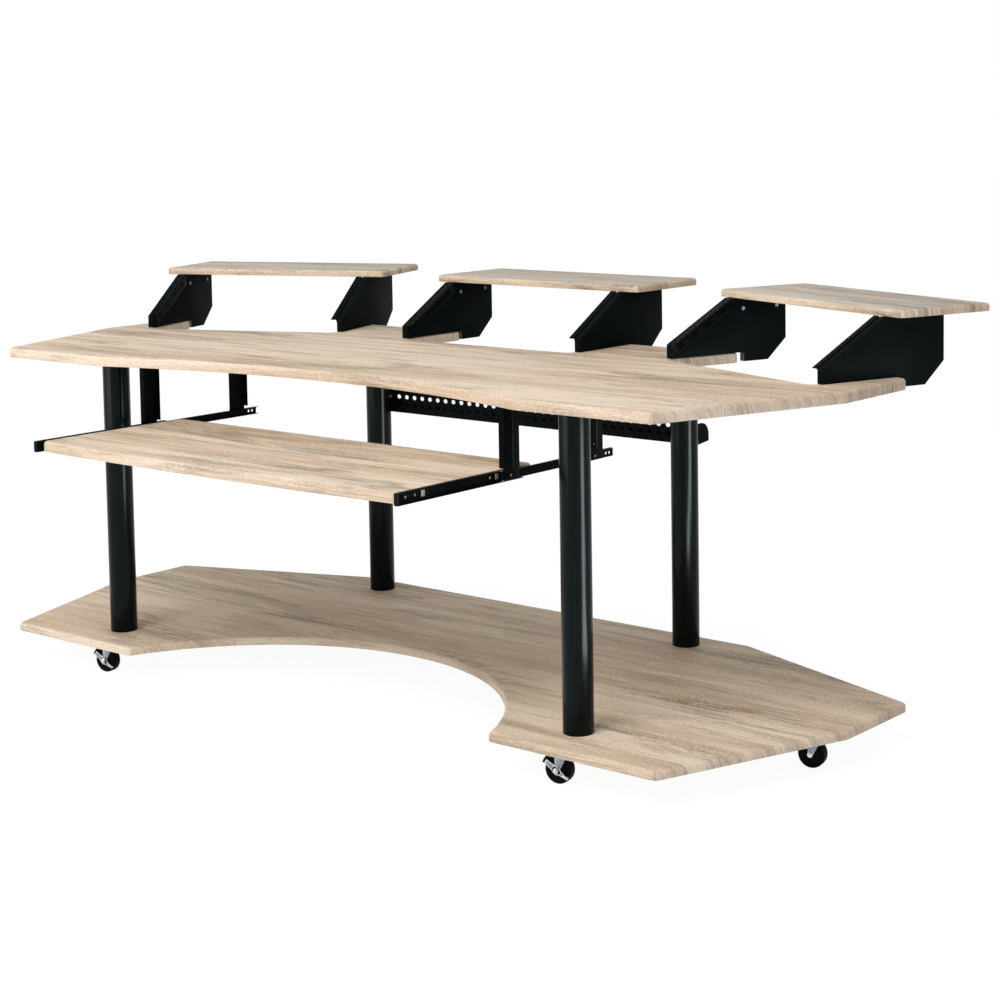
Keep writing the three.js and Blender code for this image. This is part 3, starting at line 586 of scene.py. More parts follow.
def cut(piece, tool):
    return combined(piece, tool, "DIFFERENCE")


def united(piece, *tools):
    for tool in tools:
        combined(piece, tool, "UNION")
    return piece


def soften(piece, radius, steps=2, angle=30):
    """Rounds every edge that is sharper than an angle in degrees"""
    modifier = piece.modifiers.new("round", "BEVEL")
    modifier.width = radius
    modifier.segments = steps
    modifier.limit_method = "ANGLE"
    modifier.angle_limit = math.radians(angle)
    modifier.use_clamp_overlap = True
    return apply_modifier(piece, modifier)


def copy_of(piece, matrix):
    """A copy with its own mesh, moved by a matrix"""
    twin = added("copy", piece.data.copy())
    twin.data.transform(matrix)
    return twin


def repeated(pattern, places):
    """Copies of a pattern at these places, as one piece. The pattern is used up."""
    copies = joined([copy_of(pattern, Matrix.Translation(place)) for place in places])
    bpy.data.objects.remove(pattern)
    return copies


def finished(piece, name, body, materials=(), replaced=()):
    """Names a piece, gives it its finishes and hangs it on its body"""
    only(piece)
    piece.name = name
    piece.data.name = name
    for each in materials:
        piece.data.materials.append(material(each))
    bpy.ops.object.shade_smooth_by_angle(angle=SMOOTH_ANGLE)
    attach(piece, body)
    if replaced:
        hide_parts(*replaced)


def turned_to(across, along, facing):
    """Carries X, Y and Z to three directions"""
    return Matrix((across, along, facing)).transposed().to_4x4()


def reach(node, direction):
    """How far a CAD node reaches along a direction: its least and its greatest place"""
    places = [Vector(v.co).dot(direction) for v in frame["nodes"][node].data.vertices]
    return min(places), max(places)


def middle(node):
    low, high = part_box(node)
    return (low + high) / 2


def bay_facing(bay, side="left"):
    """The direction that the rails of a rack bay face"""
    return Vector(MOUNTS[f"{bay}_bay_{side}_rail_face"]["axis"])


def bay_turn(bay):
    """The turn of a rack bay about Z"""
    facing = bay_facing(bay)
    return math.atan2(facing.x, -facing.y)


def bay_place(bay):
    """Carries the middle bay's shapes to a bay"""
    turn = Matrix.Rotation(bay_turn(bay), 4, "Z")
    to_bay = Matrix.Translation(middle(bay + "_riser_shelf")) @ turn
    return to_bay @ Matrix.Translation(-middle("centre_riser_shelf"))


# Pieces of the desk

UPRIGHT = 0.1  # a face whose normal rises less than this stands upright
LEVEL = 0.02  # and one whose normal leans less than this lies level
HOLE_REACH = 12 * MM  # the bolt holes lie within this of the legs' middles
GRAIN_STEP = Vector((3.7, 1.9))  # parts the grain of one board from the next
EDGE_GRAIN = 0.3  # how far the edges' grain lies from the top's


def outline_edges(mesh, level):
    """The edges at a level that an upright face stands on, without those around the legs' holes"""
    leg_middles = [middle("leg_" + corner).xy for corner in CORNERS]
    found = set()
    for face in mesh.polygons:
        if abs(face.normal.z) > UPRIGHT:
            continue
        for key in face.edge_keys:
            ends = [mesh.vertices[i].co for i in key]
            low = all(abs(end.z - level) < NEAR for end in ends)
            in_hole = any((ends[0].xy - leg).length < HOLE_REACH for leg in leg_middles)
            if low and not in_hole:
                found.add(key)
    return found


def outward_directions(mesh):
    """Where each corner of an outline points, seen from above"""
    outward = [Vector((0, 0)) for _ in mesh.vertices]
    for face in mesh.polygons:
        flat = face.normal.xy
        if flat.length > LEVEL:
            for index in face.vertices:
                outward[index] += flat.normalized()
    return [way.normalized() if way.length else way for way in outward]


def unfold_grain(piece, top, offset, turn):
    """Lays the grain's map on a board: its top as seen from above, with the foil folded down over its ends.
    Along the front and rear edges the grain follows the edge."""
    mesh = piece.data
    along_board = Matrix.Rotation(-turn, 2)
    outward = outward_directions(mesh)
    layer = mesh.uv_layers.new(name="grain")
    for face in mesh.polygons:
        facing = along_board @ face.normal.xy
        follows_edge = abs(face.normal.z) < FACING and abs(facing.y) > abs(facing.x)
        for index, corner in zip(face.loop_indices, face.vertices):
            place = mesh.vertices[corner].co
            away = outward[corner]
            fold = top - place.z
            if follows_edge:
                away = along_board @ away
                along = (along_board @ place.xy).dot(Vector((away.y, -away.x)))
                spot = Vector((along, fold + math.copysign(EDGE_GRAIN, away.y)))
            else:
                spot = along_board @ (place.xy + away * fold)
            layer.data[index].uv = spot + offset


def board(node, order, settings):
    """A board from its outline: the upper edge rounded over, the lower edge just broken"""
    low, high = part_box(node)
    piece = merged_copy(node)
    outline = outline_edges(piece.data, low.z)
    edit(
        piece,
        "EDGE",
        lambda edge: edge.key in outline,
        lambda: bpy.ops.mesh.select_all(action="INVERT"),
        lambda: bpy.ops.mesh.delete(type="EDGE"),
        lambda: bpy.ops.mesh.select_all(action="SELECT"),
        lambda: bpy.ops.mesh.edge_face_add(),
        lambda: bpy.ops.mesh.extrude_region_move(TRANSFORM_OT_translate={"value": (0, 0, high.z - low.z)}),
        lambda: bpy.ops.mesh.select_all(action="SELECT"),
        lambda: bpy.ops.mesh.normals_make_consistent(inside=False),
    )
    upper_rim = (high.z, settings.edge_round, settings.edge_steps)
    lower_rim = (low.z, settings.lower_round, settings.lower_steps)
    for level, radius, steps in (upper_rim, lower_rim):
        heights = [v.co.z for v in piece.data.vertices]
        edit(
            piece,
            "EDGE",
            lambda edge: all(abs(heights[i] - level) < NEAR for i in edge.vertices),
            bevel(radius, steps),
        )
    raised = node.endswith("_riser_shelf")
    turn = bay_turn(node.split("_")[0]) if raised else 0
    unfold_grain(piece, high.z, GRAIN_STEP * order, turn)
    # The raised shelves' tops carry a painted reflection, the large boards' edges a paler tone that is partly a
    # painted highlight
    edge, top = ("oak_foil", "oak_foil_raised") if raised else ("oak_foil_edge", "oak_foil")
    finished(piece, node + "_foiled", BOARDS[node], (edge, "underside", top), [node])
    for face in piece.data.polygons:
        face.material_index = 1 if face.normal.z < -FACING else 2 if face.normal.z > FACING else 0


def leg(corner, settings):
    """A tube leg, with the edges of its ends broken"""
    node = "leg_" + corner
    low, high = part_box(node)
    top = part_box("desktop")[0].z
    centre = (*middle(node).xy, (low.z + top) / 2)
    piece = cylinder((high.x - low.x) / 2, top - low.z, centre, settings.tube_sides)
    soften(piece, settings.tube_round, steps=3)
    finished(piece, "leg_tube_" + corner, DESK, ["tube_black"], [node])


def bolt_head(radius, height, socket_radius):
    """A round head with a hexagon socket, its seat at z = 0 and its face at -height"""
    head = cylinder(radius, height, (0, 0, -height / 2), sides=48)
    soften(head, height / 4, steps=3)
    socket = cylinder(socket_radius, height, (0, 0, -height), sides=6)
    return cut(head, socket)


def bay_side(bay, side, settings):
    """A rack bay's side board. Its tab behind the desktop shows raw board on its front edge."""
    node = f"{bay}_bay_side_{side}"
    piece = soften(merged_copy(node), settings.panel_round)
    finished(piece, node + "_laminated", DESK, ("panel_black", "raw_edge"), [node])
    below_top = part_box("desktop")[1].z - 1 * MM
    facing = bay_facing(bay)
    forward = Vector((facing.x, facing.y, 0)).normalized()
    squarely = 0.95
    for face in piece.data.polygons:
        bare = face.center.z < below_top and face.normal.dot(forward) > squarely
        face.material_index = int(bare)


def cam_head(radius):
    """A cam's round head with a cross recess, its face towards +X at x = 0. Its ring carries darkened zinc as a
    painted dark reflection, its middle the brighter zinc as a painted highlight.
    """
    height, sunk, cross_deep, head_round = 1.6 * MM, 0.5 * MM, 1.1 * MM, 0.3 * MM
    rim, step, bar, thin, bright = (radius * share for share in (0.3, 0.12, 0.42, 0.1, 0.5))
    head = cylinder(radius, height, (-height / 2, 0, 0), sides=40, turn=(0, RIGHT_ANGLE, 0))
    edit(head, "FACE", lambda face: face.normal.x > FACING, inset(rim), inset(step, -sunk))
    soften(head, head_round, steps=3)
    for wide, high in ((bar, thin), (thin, bar)):
        cut(head, cuboid((-cross_deep, -wide, -high), (1 * MM, wide, high)))
    # The ring takes the darkened zinc as a painted dark reflection, the middle the brighter zinc as a painted
    # highlight
    for finish in ("cam_plate", "zinc_plate"):
        head.data.materials.append(material(finish))
    for face in head.data.polygons:
        in_painted_highlight = face.center.yz.length < bright and face.normal.x > TOWARDS
        face.material_index = int(in_painted_highlight)
    return head


def rail(side, hole_sides):
    """A rack rail of the middle bay, made lying flat: an angle with round holes and slots.
    A short collar stands behind each hole."""
    node = "centre_bay_rail_" + side
    facing = bay_facing("centre", side)
    across = Vector((1, 0, 0))
    along = facing.cross(across)
    (x0, x1), (y0, y1), (z0, z1) = (reach(node, axis) for axis in (across, along, facing))
    sheet, hole_inset = 1.5 * MM, 9.2 * MM
    collar_radius, collar_deep = 3.6 * MM, 2.5 * MM + sheet
    drill_radius, drill_deep = 2.6 * MM, 10 * sheet
    slot_half, slot_deep = 4.75 * MM, 3 * sheet
    outer, inward = (x1, -1) if side == "right" else (x0, 1)
    hole_line = outer + inward * hole_inset
    web_middle = (z0 + z1 - sheet) / 2
    units = [y0 + count * RACK_UNIT for count in range(round((y1 - y0) / RACK_UNIT))]
    holes = [(hole_line, start + place, z1) for start in units for place in RACK_HOLES]
    slots = [(outer, start + RACK_UNIT / 2, web_middle) for start in units]
    flange = cuboid((x0, y0, z1 - sheet), (x1, y1, z1))
    web = cuboid((outer, y0, z0), (outer + inward * sheet, y1, z1 - sheet / 2))
    piece = united(flange, web)
    collar = cylinder(collar_radius, collar_deep, (0, 0, -collar_deep / 2), hole_sides)
    drill = cylinder(drill_radius, drill_deep, (0, 0, 0), hole_sides)
    punch = cuboid((-slot_deep, -slot_half, -slot_half), (slot_deep, slot_half, slot_half))
    united(piece, repeated(collar, holes))
    cut(piece, joined([repeated(drill, holes), repeated(punch, slots)]))
    soften(piece, SHEET_EDGE)
    piece.data.transform(turned_to(across, along, facing))
    return piece


def rounded_sheet(node, body, settings, finish="sheet_black"):
    """A folded sheet part with its edges broken"""
    piece = soften(merged_copy(node), settings.sheet_round)
    finished(piece, node + "_folded", body, [finish], [node])


def slide_cap(side):
    """The moulded cap on a drawer member's front end, with a round dimple in its face"""
    node = "slide_drawer_member_" + side
    low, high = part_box(node)
    centre = (low + high) / 2
    ahead, behind, around = 2.2 * MM, 3.2 * MM, 0.4 * MM
    cap_round, dimple_radius, dimple_deep = 2.4 * MM, 1.8 * MM, 0.8 * MM
    front = low.y - ahead
    cap = cuboid((low.x, front, low.z - around), (high.x, low.y + behind, high.z + around))
    soften(cap, cap_round, steps=5)
    dimple = cross_cylinder(dimple_radius, 2 * dimple_deep, (centre.x, front, centre.z), sides=24)
    cut(cap, dimple)
    finished(cap, node + "_cap", TRAY, ["moulded_plastic"])


def hanger_trim(side, place, pattern):
    """The pressed rib and the screws on a slide hanger's web"""
    node = f"slide_hanger_{place}_{side}"
    low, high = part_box(node)
    outward = 1 if side == "right" else -1
    face = high.x if side == "right" else low.x
    slide = middle("slide_fixed_member_" + side).z
    rib_radius, rib_round, rib_sunk, rib_place = 1.6 * MM, 1.1 * MM, 0.6 * MM, 0.55
    rib_y = low.y + (high.y - low.y) * rib_place
    rib_low, rib_high = slide + 14 * MM, high.z - 3 * MM
    rib = cylinder(rib_radius, rib_high - rib_low, (face, rib_y, (rib_low + rib_high) / 2), sides=32)
    soften(rib, rib_round, steps=4)
    inside = cuboid((face - outward * rib_sunk, low.y, low.z), (face - outward * 9 * MM, high.y, high.z))
    cut(rib, inside)
    finished(rib, node + "_rib", DESK, ["tube_black"])
    main_screw = (low.y + 18 * MM, slide, 1)
    small_screw = (low.y + 15 * MM, slide + 24 * MM, 0.6)
    proud = face + outward * 1.4 * MM
    turn = Matrix.Rotation(0 if side == "right" else math.pi, 4, "Z")
    spots = (main_screw, small_screw) if place == "rear" else (main_screw,)
    screws = []
    for y, z, share in spots:
        move = Matrix.Translation((proud, y, z)) @ turn @ Matrix.Diagonal((1, share, share, 1))
        screws.append(copy_of(pattern, move))
    finished(joined(screws), node + "_screws", DESK)


def cable_tray(hole_sides):
    """The drilled trough behind the rear legs"""
    low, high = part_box("cable_tray")
    sheet, rise, lip = 1.5 * MM, 5 * MM, 14 * MM
    columns, rows, hole_step, first_row, row_step = 36, 2, 25.4 * MM, 19 * MM, 20 * MM
    hole_radius, oval = 5.1 * MM, 1.25
    first_hole = -hole_step * (columns - 1) / 2
    holes = [
        (first_hole + column * hole_step, low.y, low.z + first_row + row * row_step)
        for row in range(rows)
        for column in range(columns)
    ]
    drill = made_oval(cross_cylinder(hole_radius, 6 * sheet, (0, 0, 0), hole_sides), oval)
    piece = cuboid(low, (high.x, low.y + sheet, high.z))
    cut(piece, repeated(drill, holes))
    floor = cuboid((low.x, low.y + sheet / 2, low.z), (high.x, high.y, low.z + sheet))
    edit(
        floor,
        "VERT",
        lambda vertex: vertex.co.y > high.y - NEAR,
        lambda: bpy.ops.transform.translate(value=(0, 0, rise)),
    )
    back = cuboid((low.x, high.y - sheet, low.z + rise), (high.x, high.y, low.z + rise + lip))
    ends = merged_copy("cable_tray")
    edit(
        ends,
        "FACE",
        lambda face: abs(abs(face.center.x) - high.x) > NEAR or abs(face.normal.x) < FACING,
        lambda: bpy.ops.mesh.delete(type="FACE"),
    )
    solid = ends.modifiers.new("sheet", "SOLIDIFY")
    solid.thickness = sheet
    solid.offset = -1
    apply_modifier(ends, solid)
    soften(united(piece, floor, back, ends), SHEET_EDGE)
    finished(piece, "cable_tray_drilled", DESK, ["tray_black"], ["cable_tray"])


def caster_place(name):
    """The frame of a caster: its swivel axis upright, X ahead of the wheel and Y along the axle"""
    swivel = Vector(JOINTS[name + "_swivel"]["pos_m"])
    wheel = Vector(JOINTS[name + "_wheel_spin"]["pos_m"])
    ahead = Vector((swivel.x - wheel.x, swivel.y - wheel.y, 0)).normalized()
    return Matrix.Translation(wheel) @ turned_to(ahead, UP.cross(ahead), UP)


def along_axle(name, node):
    """Where a CAD node's near and far ends lie along a caster's axle, from the wheel's middle"""
    place = caster_place(name)
    axle = place.col[1].to_3d()
    return [end - place.translation.dot(axle) for end in reach(node, axle)]


def wheel_shape(sides):
    """A rubber wheel about the Y axis: rounded tread, dished sides and a raised hub"""
    radius = JOINTS["front_left_wheel_spin"]["pos_m"][2]
    width, tread_round, edge_round = 20 * MM, 3 * MM, 0.35 * MM
    piece = cross_cylinder(radius, width, (0, 0, 0), sides)
    rim, into_dish, dish, onto_hub, hub = (4.5, 0), (1.6, -1.6), (7, 0), (1.4, 1.6), (6, 0)
    rings = (rim, into_dish, dish, onto_hub, hub)
    steps = [inset(wide * MM, deep * MM, each_face=True) for wide, deep in rings]
    edit(piece, "FACE", lambda face: abs(face.normal.y) > FACING, *steps)
    mesh = piece.data

    def on_tread(edge):
        first, second = (mesh.vertices[i].co for i in edge.vertices)
        outermost = all(abs(end.xz.length - radius) < NEAR for end in (first, second))
        return outermost and abs(first.y - second.y) < NEAR

    edit(piece, "EDGE", on_tread, bevel(tread_round, steps=5))
    return soften(piece, edge_round, angle=25)


def axle_nut():
    """A nut on its washer and the axle's end, facing -Y from y = 0"""
    washer, nut, end = (5.2, 0.8, 0, 40), (4.3, 2.2, 0.8, 6), (2.4, 1.2, 3, 24)
    edge_round = 0.25 * MM
    parts = []
    for radius, deep, ahead, sides in (washer, nut, end):
        part = cross_cylinder(radius * MM, deep * MM, (0, -(ahead + deep / 2) * MM, 0), sides)
        parts.append(soften(part, edge_round))
    piece = joined(parts)
    piece.data.materials.append(material("chrome_plate"))
    return piece


def tapered_bar(start, end, start_half, end_half, near, far):
    """A flat bar along X that widens or narrows from its start to its end"""
    bar = cuboid((min(start, end), near, -start_half), (max(start, end), far, start_half))
    return edit(
        bar,
        "VERT",
        lambda vertex: abs(vertex.co.x - end) < NEAR,
        lambda: bpy.ops.transform.resize(value=(1, 1, end_half / start_half), center_override=(end, 0, 0)),
    )


def brake_lever(near, far):
    """The pressed lever about the axle: a sunk arm, an oval boss with a dish, and a hooked tail"""
    thick, centre = far - near, (near + far) / 2
    root_half, arm_half, tail_half = 6.6 * MM, 4.6 * MM, 1.7 * MM
    arm_end, tail_end = -28 * MM, 23 * MM
    hook_x, hook_z, hook_radius = 24.4 * MM, 1.3 * MM, 3.1 * MM
    notch_x, notch_z, notch_radius = 24.2 * MM, 2.4 * MM, 1.5 * MM
    boss_radius, boss_oval, boss_proud = 8 * MM, 1.3, 0.8 * MM
    boss_rim, dish_step, dish_deep, nut_shadow_radius = 1.1 * MM, 0.6 * MM, 1.2 * MM, 7 * MM
    bore_radius, lever_round, arm_sunk, face_sunk = 3.3 * MM, 0.35 * MM, 1 * MM, 0.2 * MM
    hook = cross_cylinder(hook_radius, thick, (hook_x, centre, hook_z), sides=32)
    notch = cross_cylinder(notch_radius, 4 * thick, (notch_x, centre, notch_z), sides=24)
    cut(hook, notch)
    arm = tapered_bar(0, arm_end, root_half, arm_half, near, far)
    tail = tapered_bar(0, tail_end, root_half, tail_half, near, far)
    lever = united(arm, tail, hook)
    arm_dish = (-1 * MM, -25.5 * MM, 4.9 * MM, 3 * MM)
    tail_dish = (1 * MM, 15 * MM, 4.9 * MM, 1.8 * MM)
    for dish in (arm_dish, tail_dish):
        cut(lever, tapered_bar(*dish, near - arm_sunk, near + arm_sunk))
    boss = cross_cylinder(boss_radius, thick + boss_proud, (0, centre - boss_proud / 2, 0), sides=48)
    made_oval(boss, boss_oval)
    edit(boss, "FACE", lambda face: face.normal.y < -FACING, inset(boss_rim), inset(dish_step, -dish_deep))
    united(lever, boss)
    cut(lever, cross_cylinder(bore_radius, 6 * thick, (0, centre, 0), sides=32))
    soften(lever, lever_round, steps=3, angle=40)
    # Painted shade and shadow: the near side's sunk faces take the darker zinc as a painted shade inside the
    # chrome lever, and the dish round the nut takes black as a painted shadow
    for finish in ("chrome_plate", "zinc_plate", "sheet_black"):
        lever.data.materials.append(material(finish))
    for face in lever.data.polygons:
        if face.normal.y < -TOWARDS and face.center.y > near + face_sunk:
            in_painted_nut_shadow = Vector((face.center.x / boss_oval, face.center.z)).length < nut_shadow_radius
            face.material_index = 2 if in_painted_nut_shadow else 1
    return lever


def caster(name, patterns):
    """Dresses one caster: plate, fork, wheel, and the front ones' brake"""
    place = caster_place(name)
    plate_round, fork_round, pad_round = 0.5 * MM, 0.4 * MM, 1.2 * MM
    screw_apart, screw_depth = 16 * MM, 2.5 * MM
    node = "caster_plate_" + name
    centre = Vector(JOINTS[name + "_swivel"]["pos_m"])
    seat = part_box("base_board")[0].z - screw_depth
    parts = [soften(merged_copy(node), plate_round)]
    for across in (-screw_apart, screw_apart):
        for along in (-screw_apart, screw_apart):
            spot = (centre.x + across, centre.y + along, seat)
            parts.append(copy_of(patterns["screw"], Matrix.Translation(spot)))
    finished(joined(parts), f"caster_{name}_mount", DESK, ["zinc_plate"], [node])
    node = "caster_fork_" + name
    fork = soften(merged_copy(node), fork_round)
    fork.data.materials.append(material("zinc_plate"))
    near, _ = along_axle(name, node)
    nut = copy_of(patterns["nut"], place @ Matrix.Translation((0, near, 0)))
    finished(joined([fork, nut]), f"caster_{name}_fork", "fork_" + name, (), [node])
    node = "caster_wheel_" + name
    wheel = copy_of(patterns["wheel"], place)
    finished(wheel, f"caster_{name}_wheel", "wheel_" + name, ["tyre_rubber"], [node])
    if name not in BRAKED:
        return
    body = "brake_" + name
    node = "caster_brake_lever_" + name
    lever = copy_of(patterns["lever"], place @ Matrix.Rotation(LEVER_SLOPE, 4, "Y"))
    finished(lever, f"caster_{name}_lever", body, (), [node])
    node = "caster_brake_pad_" + name
    pad = soften(merged_copy(node), pad_round)
    finished(pad, f"caster_{name}_pad", body, ["moulded_plastic"], [node])


class DeskOperator:
    """What all the operators share: each can be undone"""

    bl_options = {"REGISTER", "UNDO"}


class DESK_OT_boards(DeskOperator, bpy.types.Operator):
    """Models the oak boards: base, desktop, raised shelves and keyboard shelf"""

    bl_idname = "desk.boards"
    bl_label = "Oak Boards"

    def execute(self, context):
        for order, node in enumerate(BOARDS):
            board(node, order, context.scene.desk_boards)
        return {"FINISHED"}


class DESK_OT_legs(DeskOperator, bpy.types.Operator):
    """Models the four tube legs and the bolts below them"""

    bl_idname = "desk.legs"
    bl_label = "Tube Legs"

    def execute(self, context):
        radius, height, socket_radius = 9 * MM, 5 * MM, 3.5 * MM
        pattern = bolt_head(radius, height, socket_radius)
        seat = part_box("base_board")[0].z
        for corner in CORNERS:
            leg(corner, context.scene.desk_frame)
            node = "leg_bolt_" + corner
            bolt = copy_of(pattern, Matrix.Translation((*middle(node).xy, seat)))
            finished(bolt, node + "_head", DESK, ["zinc_plate"], [node])
        bpy.data.objects.remove(pattern)
        return {"FINISHED"}


class DESK_OT_bay_sides(DeskOperator, bpy.types.Operator):
    """Models the side boards of the rack bays and the cam heads in them"""

    bl_idname = "desk.bay_sides"
    bl_label = "Bay Side Boards"

    def execute(self, context):
        _, (_, rear_edge, desktop_top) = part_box("desktop")
        front_cam = (rear_edge, desktop_top + 95.5 * MM)
        rear_cam = (rear_edge + 90 * MM, desktop_top + 98 * MM)
        proud = 1 * MM
        head_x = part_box("centre_bay_side_right")[0].x - proud
        pattern = cam_head(context.scene.desk_hardware.cam_radius)
        heads = []
        for y, z in (front_cam, rear_cam):
            for turn, x in ((0, -head_x), (math.pi, head_x)):
                heads.append(copy_of(pattern, Matrix.Translation((x, y, z)) @ Matrix.Rotation(turn, 4, "Z")))
        cams = joined(heads)
        for bay in BAYS:
            for side in SIDES:
                bay_side(bay, side, context.scene.desk_frame)
            finished(copy_of(cams, bay_place(bay)), bay + "_bay_cams", DESK)
        for used in (cams, pattern):
            bpy.data.objects.remove(used)
        return {"FINISHED"}


class DESK_OT_rails(DeskOperator, bpy.types.Operator):
    """Models the drilled rack rails on the slopes of the bays"""

    bl_idname = "desk.rails"
    bl_label = "Rack Rails"

    def execute(self, context):
        for side in SIDES:
            pattern = rail(side, context.scene.desk_hardware.hole_sides)
            for bay in BAYS:
                node = f"{bay}_bay_rail_{side}"
                twin = copy_of(pattern, bay_place(bay))
                finished(twin, node + "_drilled", DESK, ["sheet_black"], [node])
            bpy.data.objects.remove(pattern)
        return {"FINISHED"}


class DESK_OT_slides(DeskOperator, bpy.types.Operator):
    """Models the keyboard shelf's slides with their ball cages"""

    bl_idname = "desk.slides"
    bl_label = "Keyboard Slides"

    def execute(self, context):
        settings = context.scene.desk_frame
        for side in SIDES:
            rounded_sheet("slide_drawer_member_" + side, TRAY, settings)
            slide_cap(side)
            rounded_sheet("slide_fixed_member_" + side, DESK, settings)
            rounded_sheet("slide_ball_cage_" + side, "ball_cages", settings, "zinc_plate")
        return {"FINISHED"}


class DESK_OT_hangers(DeskOperator, bpy.types.Operator):
    """Models the channels that hang the slides, with their ribs and screws"""

    bl_idname = "desk.hangers"
    bl_label = "Slide Hangers"

    def execute(self, context):
        # The screws share the cams' head, with its painted dark reflection and painted highlight
        pattern = cam_head(context.scene.desk_hardware.screw_radius)
        for side in SIDES:
            for place in ("front", "rear"):
                rounded_sheet(f"slide_hanger_{place}_{side}", DESK, context.scene.desk_frame)
                hanger_trim(side, place, pattern)
        bpy.data.objects.remove(pattern)
        return {"FINISHED"}


class DESK_OT_cable_tray(DeskOperator, bpy.types.Operator):
    """Models the drilled cable tray"""

    bl_idname = "desk.cable_tray"
    bl_label = "Cable Tray"

    def execute(self, context):
        cable_tray(context.scene.desk_hardware.hole_sides)
        return {"FINISHED"}


class DESK_OT_casters(DeskOperator, bpy.types.Operator):
    """Models the six casters"""

    bl_idname = "desk.casters"
    bl_label = "Casters"

    def execute(self, context):
        screw_radius, screw_height, socket_radius = 3.6 * MM, 2 * MM, 1.6 * MM
        patterns = {
            "wheel": wheel_shape(context.scene.desk_hardware.wheel_sides),
            "screw": bolt_head(screw_radius, screw_height, socket_radius),
            "nut": axle_nut(),
            "lever": brake_lever(*along_axle(BRAKED[0], "caster_brake_lever_" + BRAKED[0])),
        }
        for name in CASTERS:
            caster(name, patterns)
        for pattern in patterns.values():
            bpy.data.objects.remove(pattern)
        return {"FINISHED"}


# The stage

Lamp = namedtuple("Lamp", "name place target width height")
KEY_LIGHT = Lamp("key", (0.6, -3.2, 4.2), (0, 0, 0.5), 3.0, 2.4)
FILL_LIGHT = Lamp("fill", (-2.2, -4.8, 1.0), (0, 0, 0.4), 3.6, 1.2)
# An upright light at the right, and its mirror image as a glossy floor would show it.
# They draw the streaks on the legs.
STREAK_LIGHTS = (
    Lamp("streak", (4.2, -0.12, 0.45), (0.4, -0.12, 0.45), 1.35, 0.86),
    Lamp("streak_far", (3.28, -0.16, 0.012), (3.28, -0.16, 1), 1.85, 1.0),
    Lamp("streak_near", (1.8, -0.24, 0.012), (1.8, -0.24, 1), 1.1, 0.45),
)
STREAK_TINT = (0.84, 0.93, 1)
SEEN_RAYS = ("Is Camera Ray", "Is Glossy Ray", "Is Transmission Ray")
FLOOR_SIZE = 60
FLOOR_TONE = (0.85, 0.85, 0.85, 1)
FLOOR_ROUGHNESS = 0.9
FLOOR_GLOW, FLOOR_GLOW_SHARE = 1.16, 0.8


def stage_camera(settings):
    data = bpy.data.cameras.new("camera")
    data.sensor_fit = "HORIZONTAL"
    data.lens = data.sensor_width * settings.focal_share
    data.shift_x = settings.shift_across
    data.shift_y = settings.shift_up
    camera = added("camera", data)
    turned = Matrix.Rotation(settings.camera_turn, 3, "Z")
    tilted = Matrix.Rotation(RIGHT_ANGLE - settings.camera_dip, 3, "X")
    rolled = Matrix.Rotation(settings.camera_roll, 3, "Z")
    camera.rotation_euler = (turned @ tilted @ rolled).to_euler()
    camera.location = settings.camera_place
    bpy.context.scene.camera = camera


def area_light(lamp, watts, gloss_alone=False):
    """A rectangular light that faces its target. Gloss alone adds no light to matt surfaces."""
    data = bpy.data.lights.new(lamp.name, "AREA")
    data.shape = "RECTANGLE"
    data.size = lamp.width
    data.size_y = lamp.height
    data.energy = watts
    light = added(lamp.name, data)
    light.location = lamp.place
    facing = Vector(lamp.target) - Vector(lamp.place)
    light.rotation_euler = facing.to_track_quat("-Z", "Y").to_euler()
    light.visible_camera = False
    light.visible_diffuse = not gloss_alone
    data.color = STREAK_TINT if gloss_alone else WHITE[:3]


def seen_directly(tree):
    """1 for rays from the camera, a gloss or a clear surface, and 0 for the light on the object"""
    total = 0
    for kind in SEEN_RAYS:
        total = tree.maths("ADD", total, tree.node("ShaderNodeLightPath", {}, output=kind), clamp=True)
    return total


def stage_world(settings):
    """White where it is seen, and softer as the light on the desk"""
    world = bpy.data.worlds.new("studio")
    bpy.context.scene.world = world
    tree = Tree(world)
    room = tree.nodes["Background"]
    tree.feed(room, "Color", WHITE)
    tree.feed(room, "Strength", settings.ambient)
    seen = tree.node("ShaderNodeBackground", {}, WHITE, 1)
    lit = Value(tree, room.outputs[0])
    mix = tree.node("ShaderNodeMixShader", {}, seen_directly(tree), lit, seen)
    tree.feed(tree.nodes["World Output"], "Surface", mix)


def stage_floor():
    """A white floor that keeps a soft shadow"""
    bpy.ops.object.select_all(action="DESELECT")
    bpy.ops.mesh.primitive_plane_add(size=FLOOR_SIZE, location=(0, 0, 0))
    floor = bpy.context.object
    floor.name = "floor"
    finish = Finish("floor_white")
    finish.surface(Base_Color=FLOOR_TONE, Roughness=FLOOR_ROUGHNESS)
    matt = Value(finish, finish.shader.outputs[0])
    glow = finish.node("ShaderNodeEmission", {}, Strength=FLOOR_GLOW)
    share = seen_directly(finish) * FLOOR_GLOW_SHARE
    mix = finish.node("ShaderNodeMixShader", {}, share, matt, glow)
    finish.feed(finish.nodes["Material Output"], "Surface", mix)
    floor.data.materials.append(finish.material)


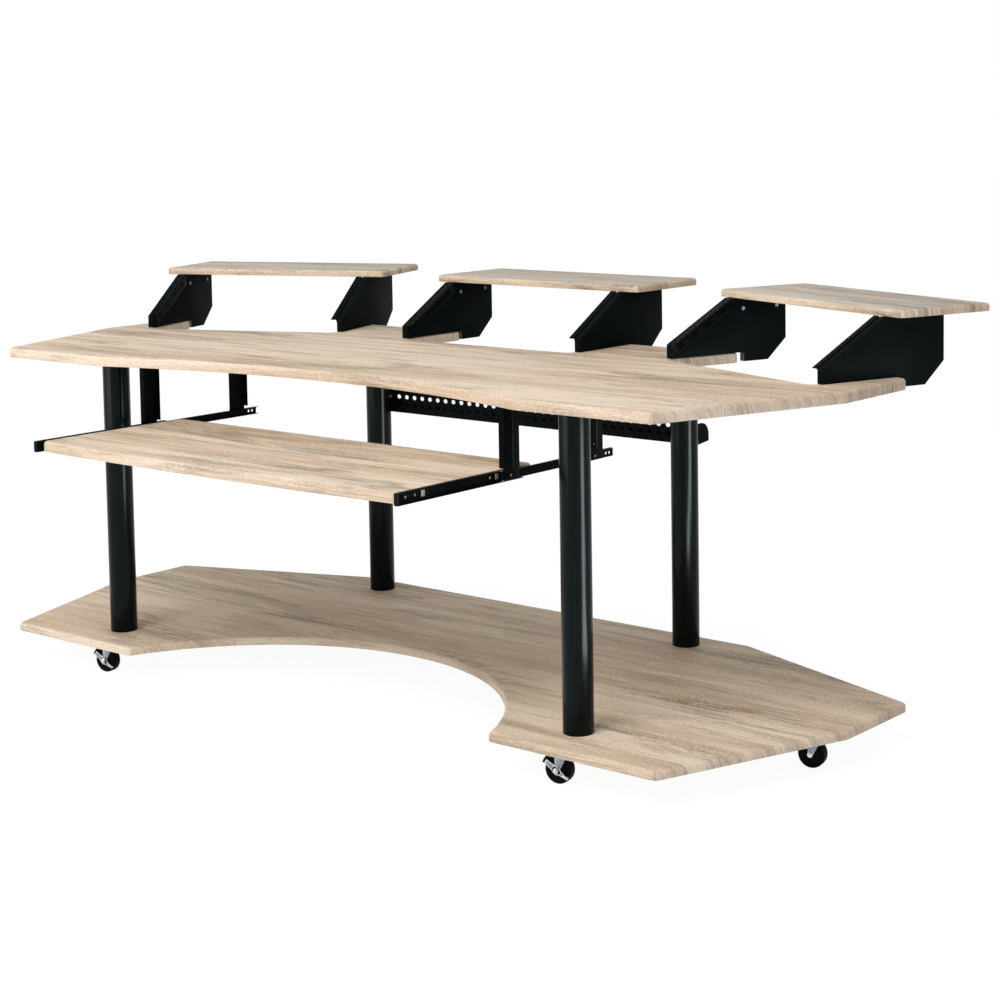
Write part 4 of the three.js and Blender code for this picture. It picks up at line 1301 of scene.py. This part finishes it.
class DESK_OT_stage(DeskOperator, bpy.types.Operator):
    """Sets the floor, the light and the camera"""

    bl_idname = "desk.stage"
    bl_label = "Stage"

    def execute(self, context):
        settings = context.scene.desk_stage
        stage_floor()
        stage_world(settings)
        area_light(KEY_LIGHT, settings.key_watts)
        area_light(FILL_LIGHT, settings.fill_watts)
        for lamp in STREAK_LIGHTS:
            watts = settings.streak * math.pi * lamp.width * lamp.height
            area_light(lamp, watts, gloss_alone=True)
        stage_camera(settings)
        context.scene.view_settings.view_transform = "Standard"
        return {"FINISHED"}


OPERATORS = (
    DESK_OT_boards,
    DESK_OT_legs,
    DESK_OT_bay_sides,
    DESK_OT_rails,
    DESK_OT_slides,
    DESK_OT_hangers,
    DESK_OT_cable_tray,
    DESK_OT_casters,
    DESK_OT_stage,
)


class DESK_PT_panel(bpy.types.Panel):
    """The desk's pieces and settings"""

    bl_label = "Studio Desk"
    bl_space_type = "VIEW_3D"
    bl_region_type = "UI"
    bl_category = "Studio Desk"

    def draw(self, context):
        for operator in OPERATORS:
            self.layout.operator(operator.bl_idname)
        for group in GROUPS:
            settings = getattr(context.scene, group)
            box = self.layout.box()
            for name in settings.__annotations__:
                box.prop(settings, name)


GROUPS = {
    "desk_boards": BoardSettings,
    "desk_frame": FrameSettings,
    "desk_hardware": HardwareSettings,
    "desk_stage": StageSettings,
}


def register():
    for each in (*GROUPS.values(), *OPERATORS, DESK_PT_panel):
        bpy.utils.register_class(each)
    for name, group in GROUPS.items():
        setattr(bpy.types.Scene, name, PointerProperty(type=group))


def unregister():
    for name in GROUPS:
        delattr(bpy.types.Scene, name)
    for each in (DESK_PT_panel, *OPERATORS, *GROUPS.values()):
        bpy.utils.unregister_class(each)


def main():
    register()
    bpy.ops.desk.boards()
    bpy.ops.desk.legs()
    bpy.ops.desk.bay_sides()
    bpy.ops.desk.rails()
    bpy.ops.desk.slides()
    bpy.ops.desk.hangers()
    bpy.ops.desk.cable_tray()
    bpy.ops.desk.casters()
    bpy.ops.desk.stage()


if __name__ == "__main__":
    main()
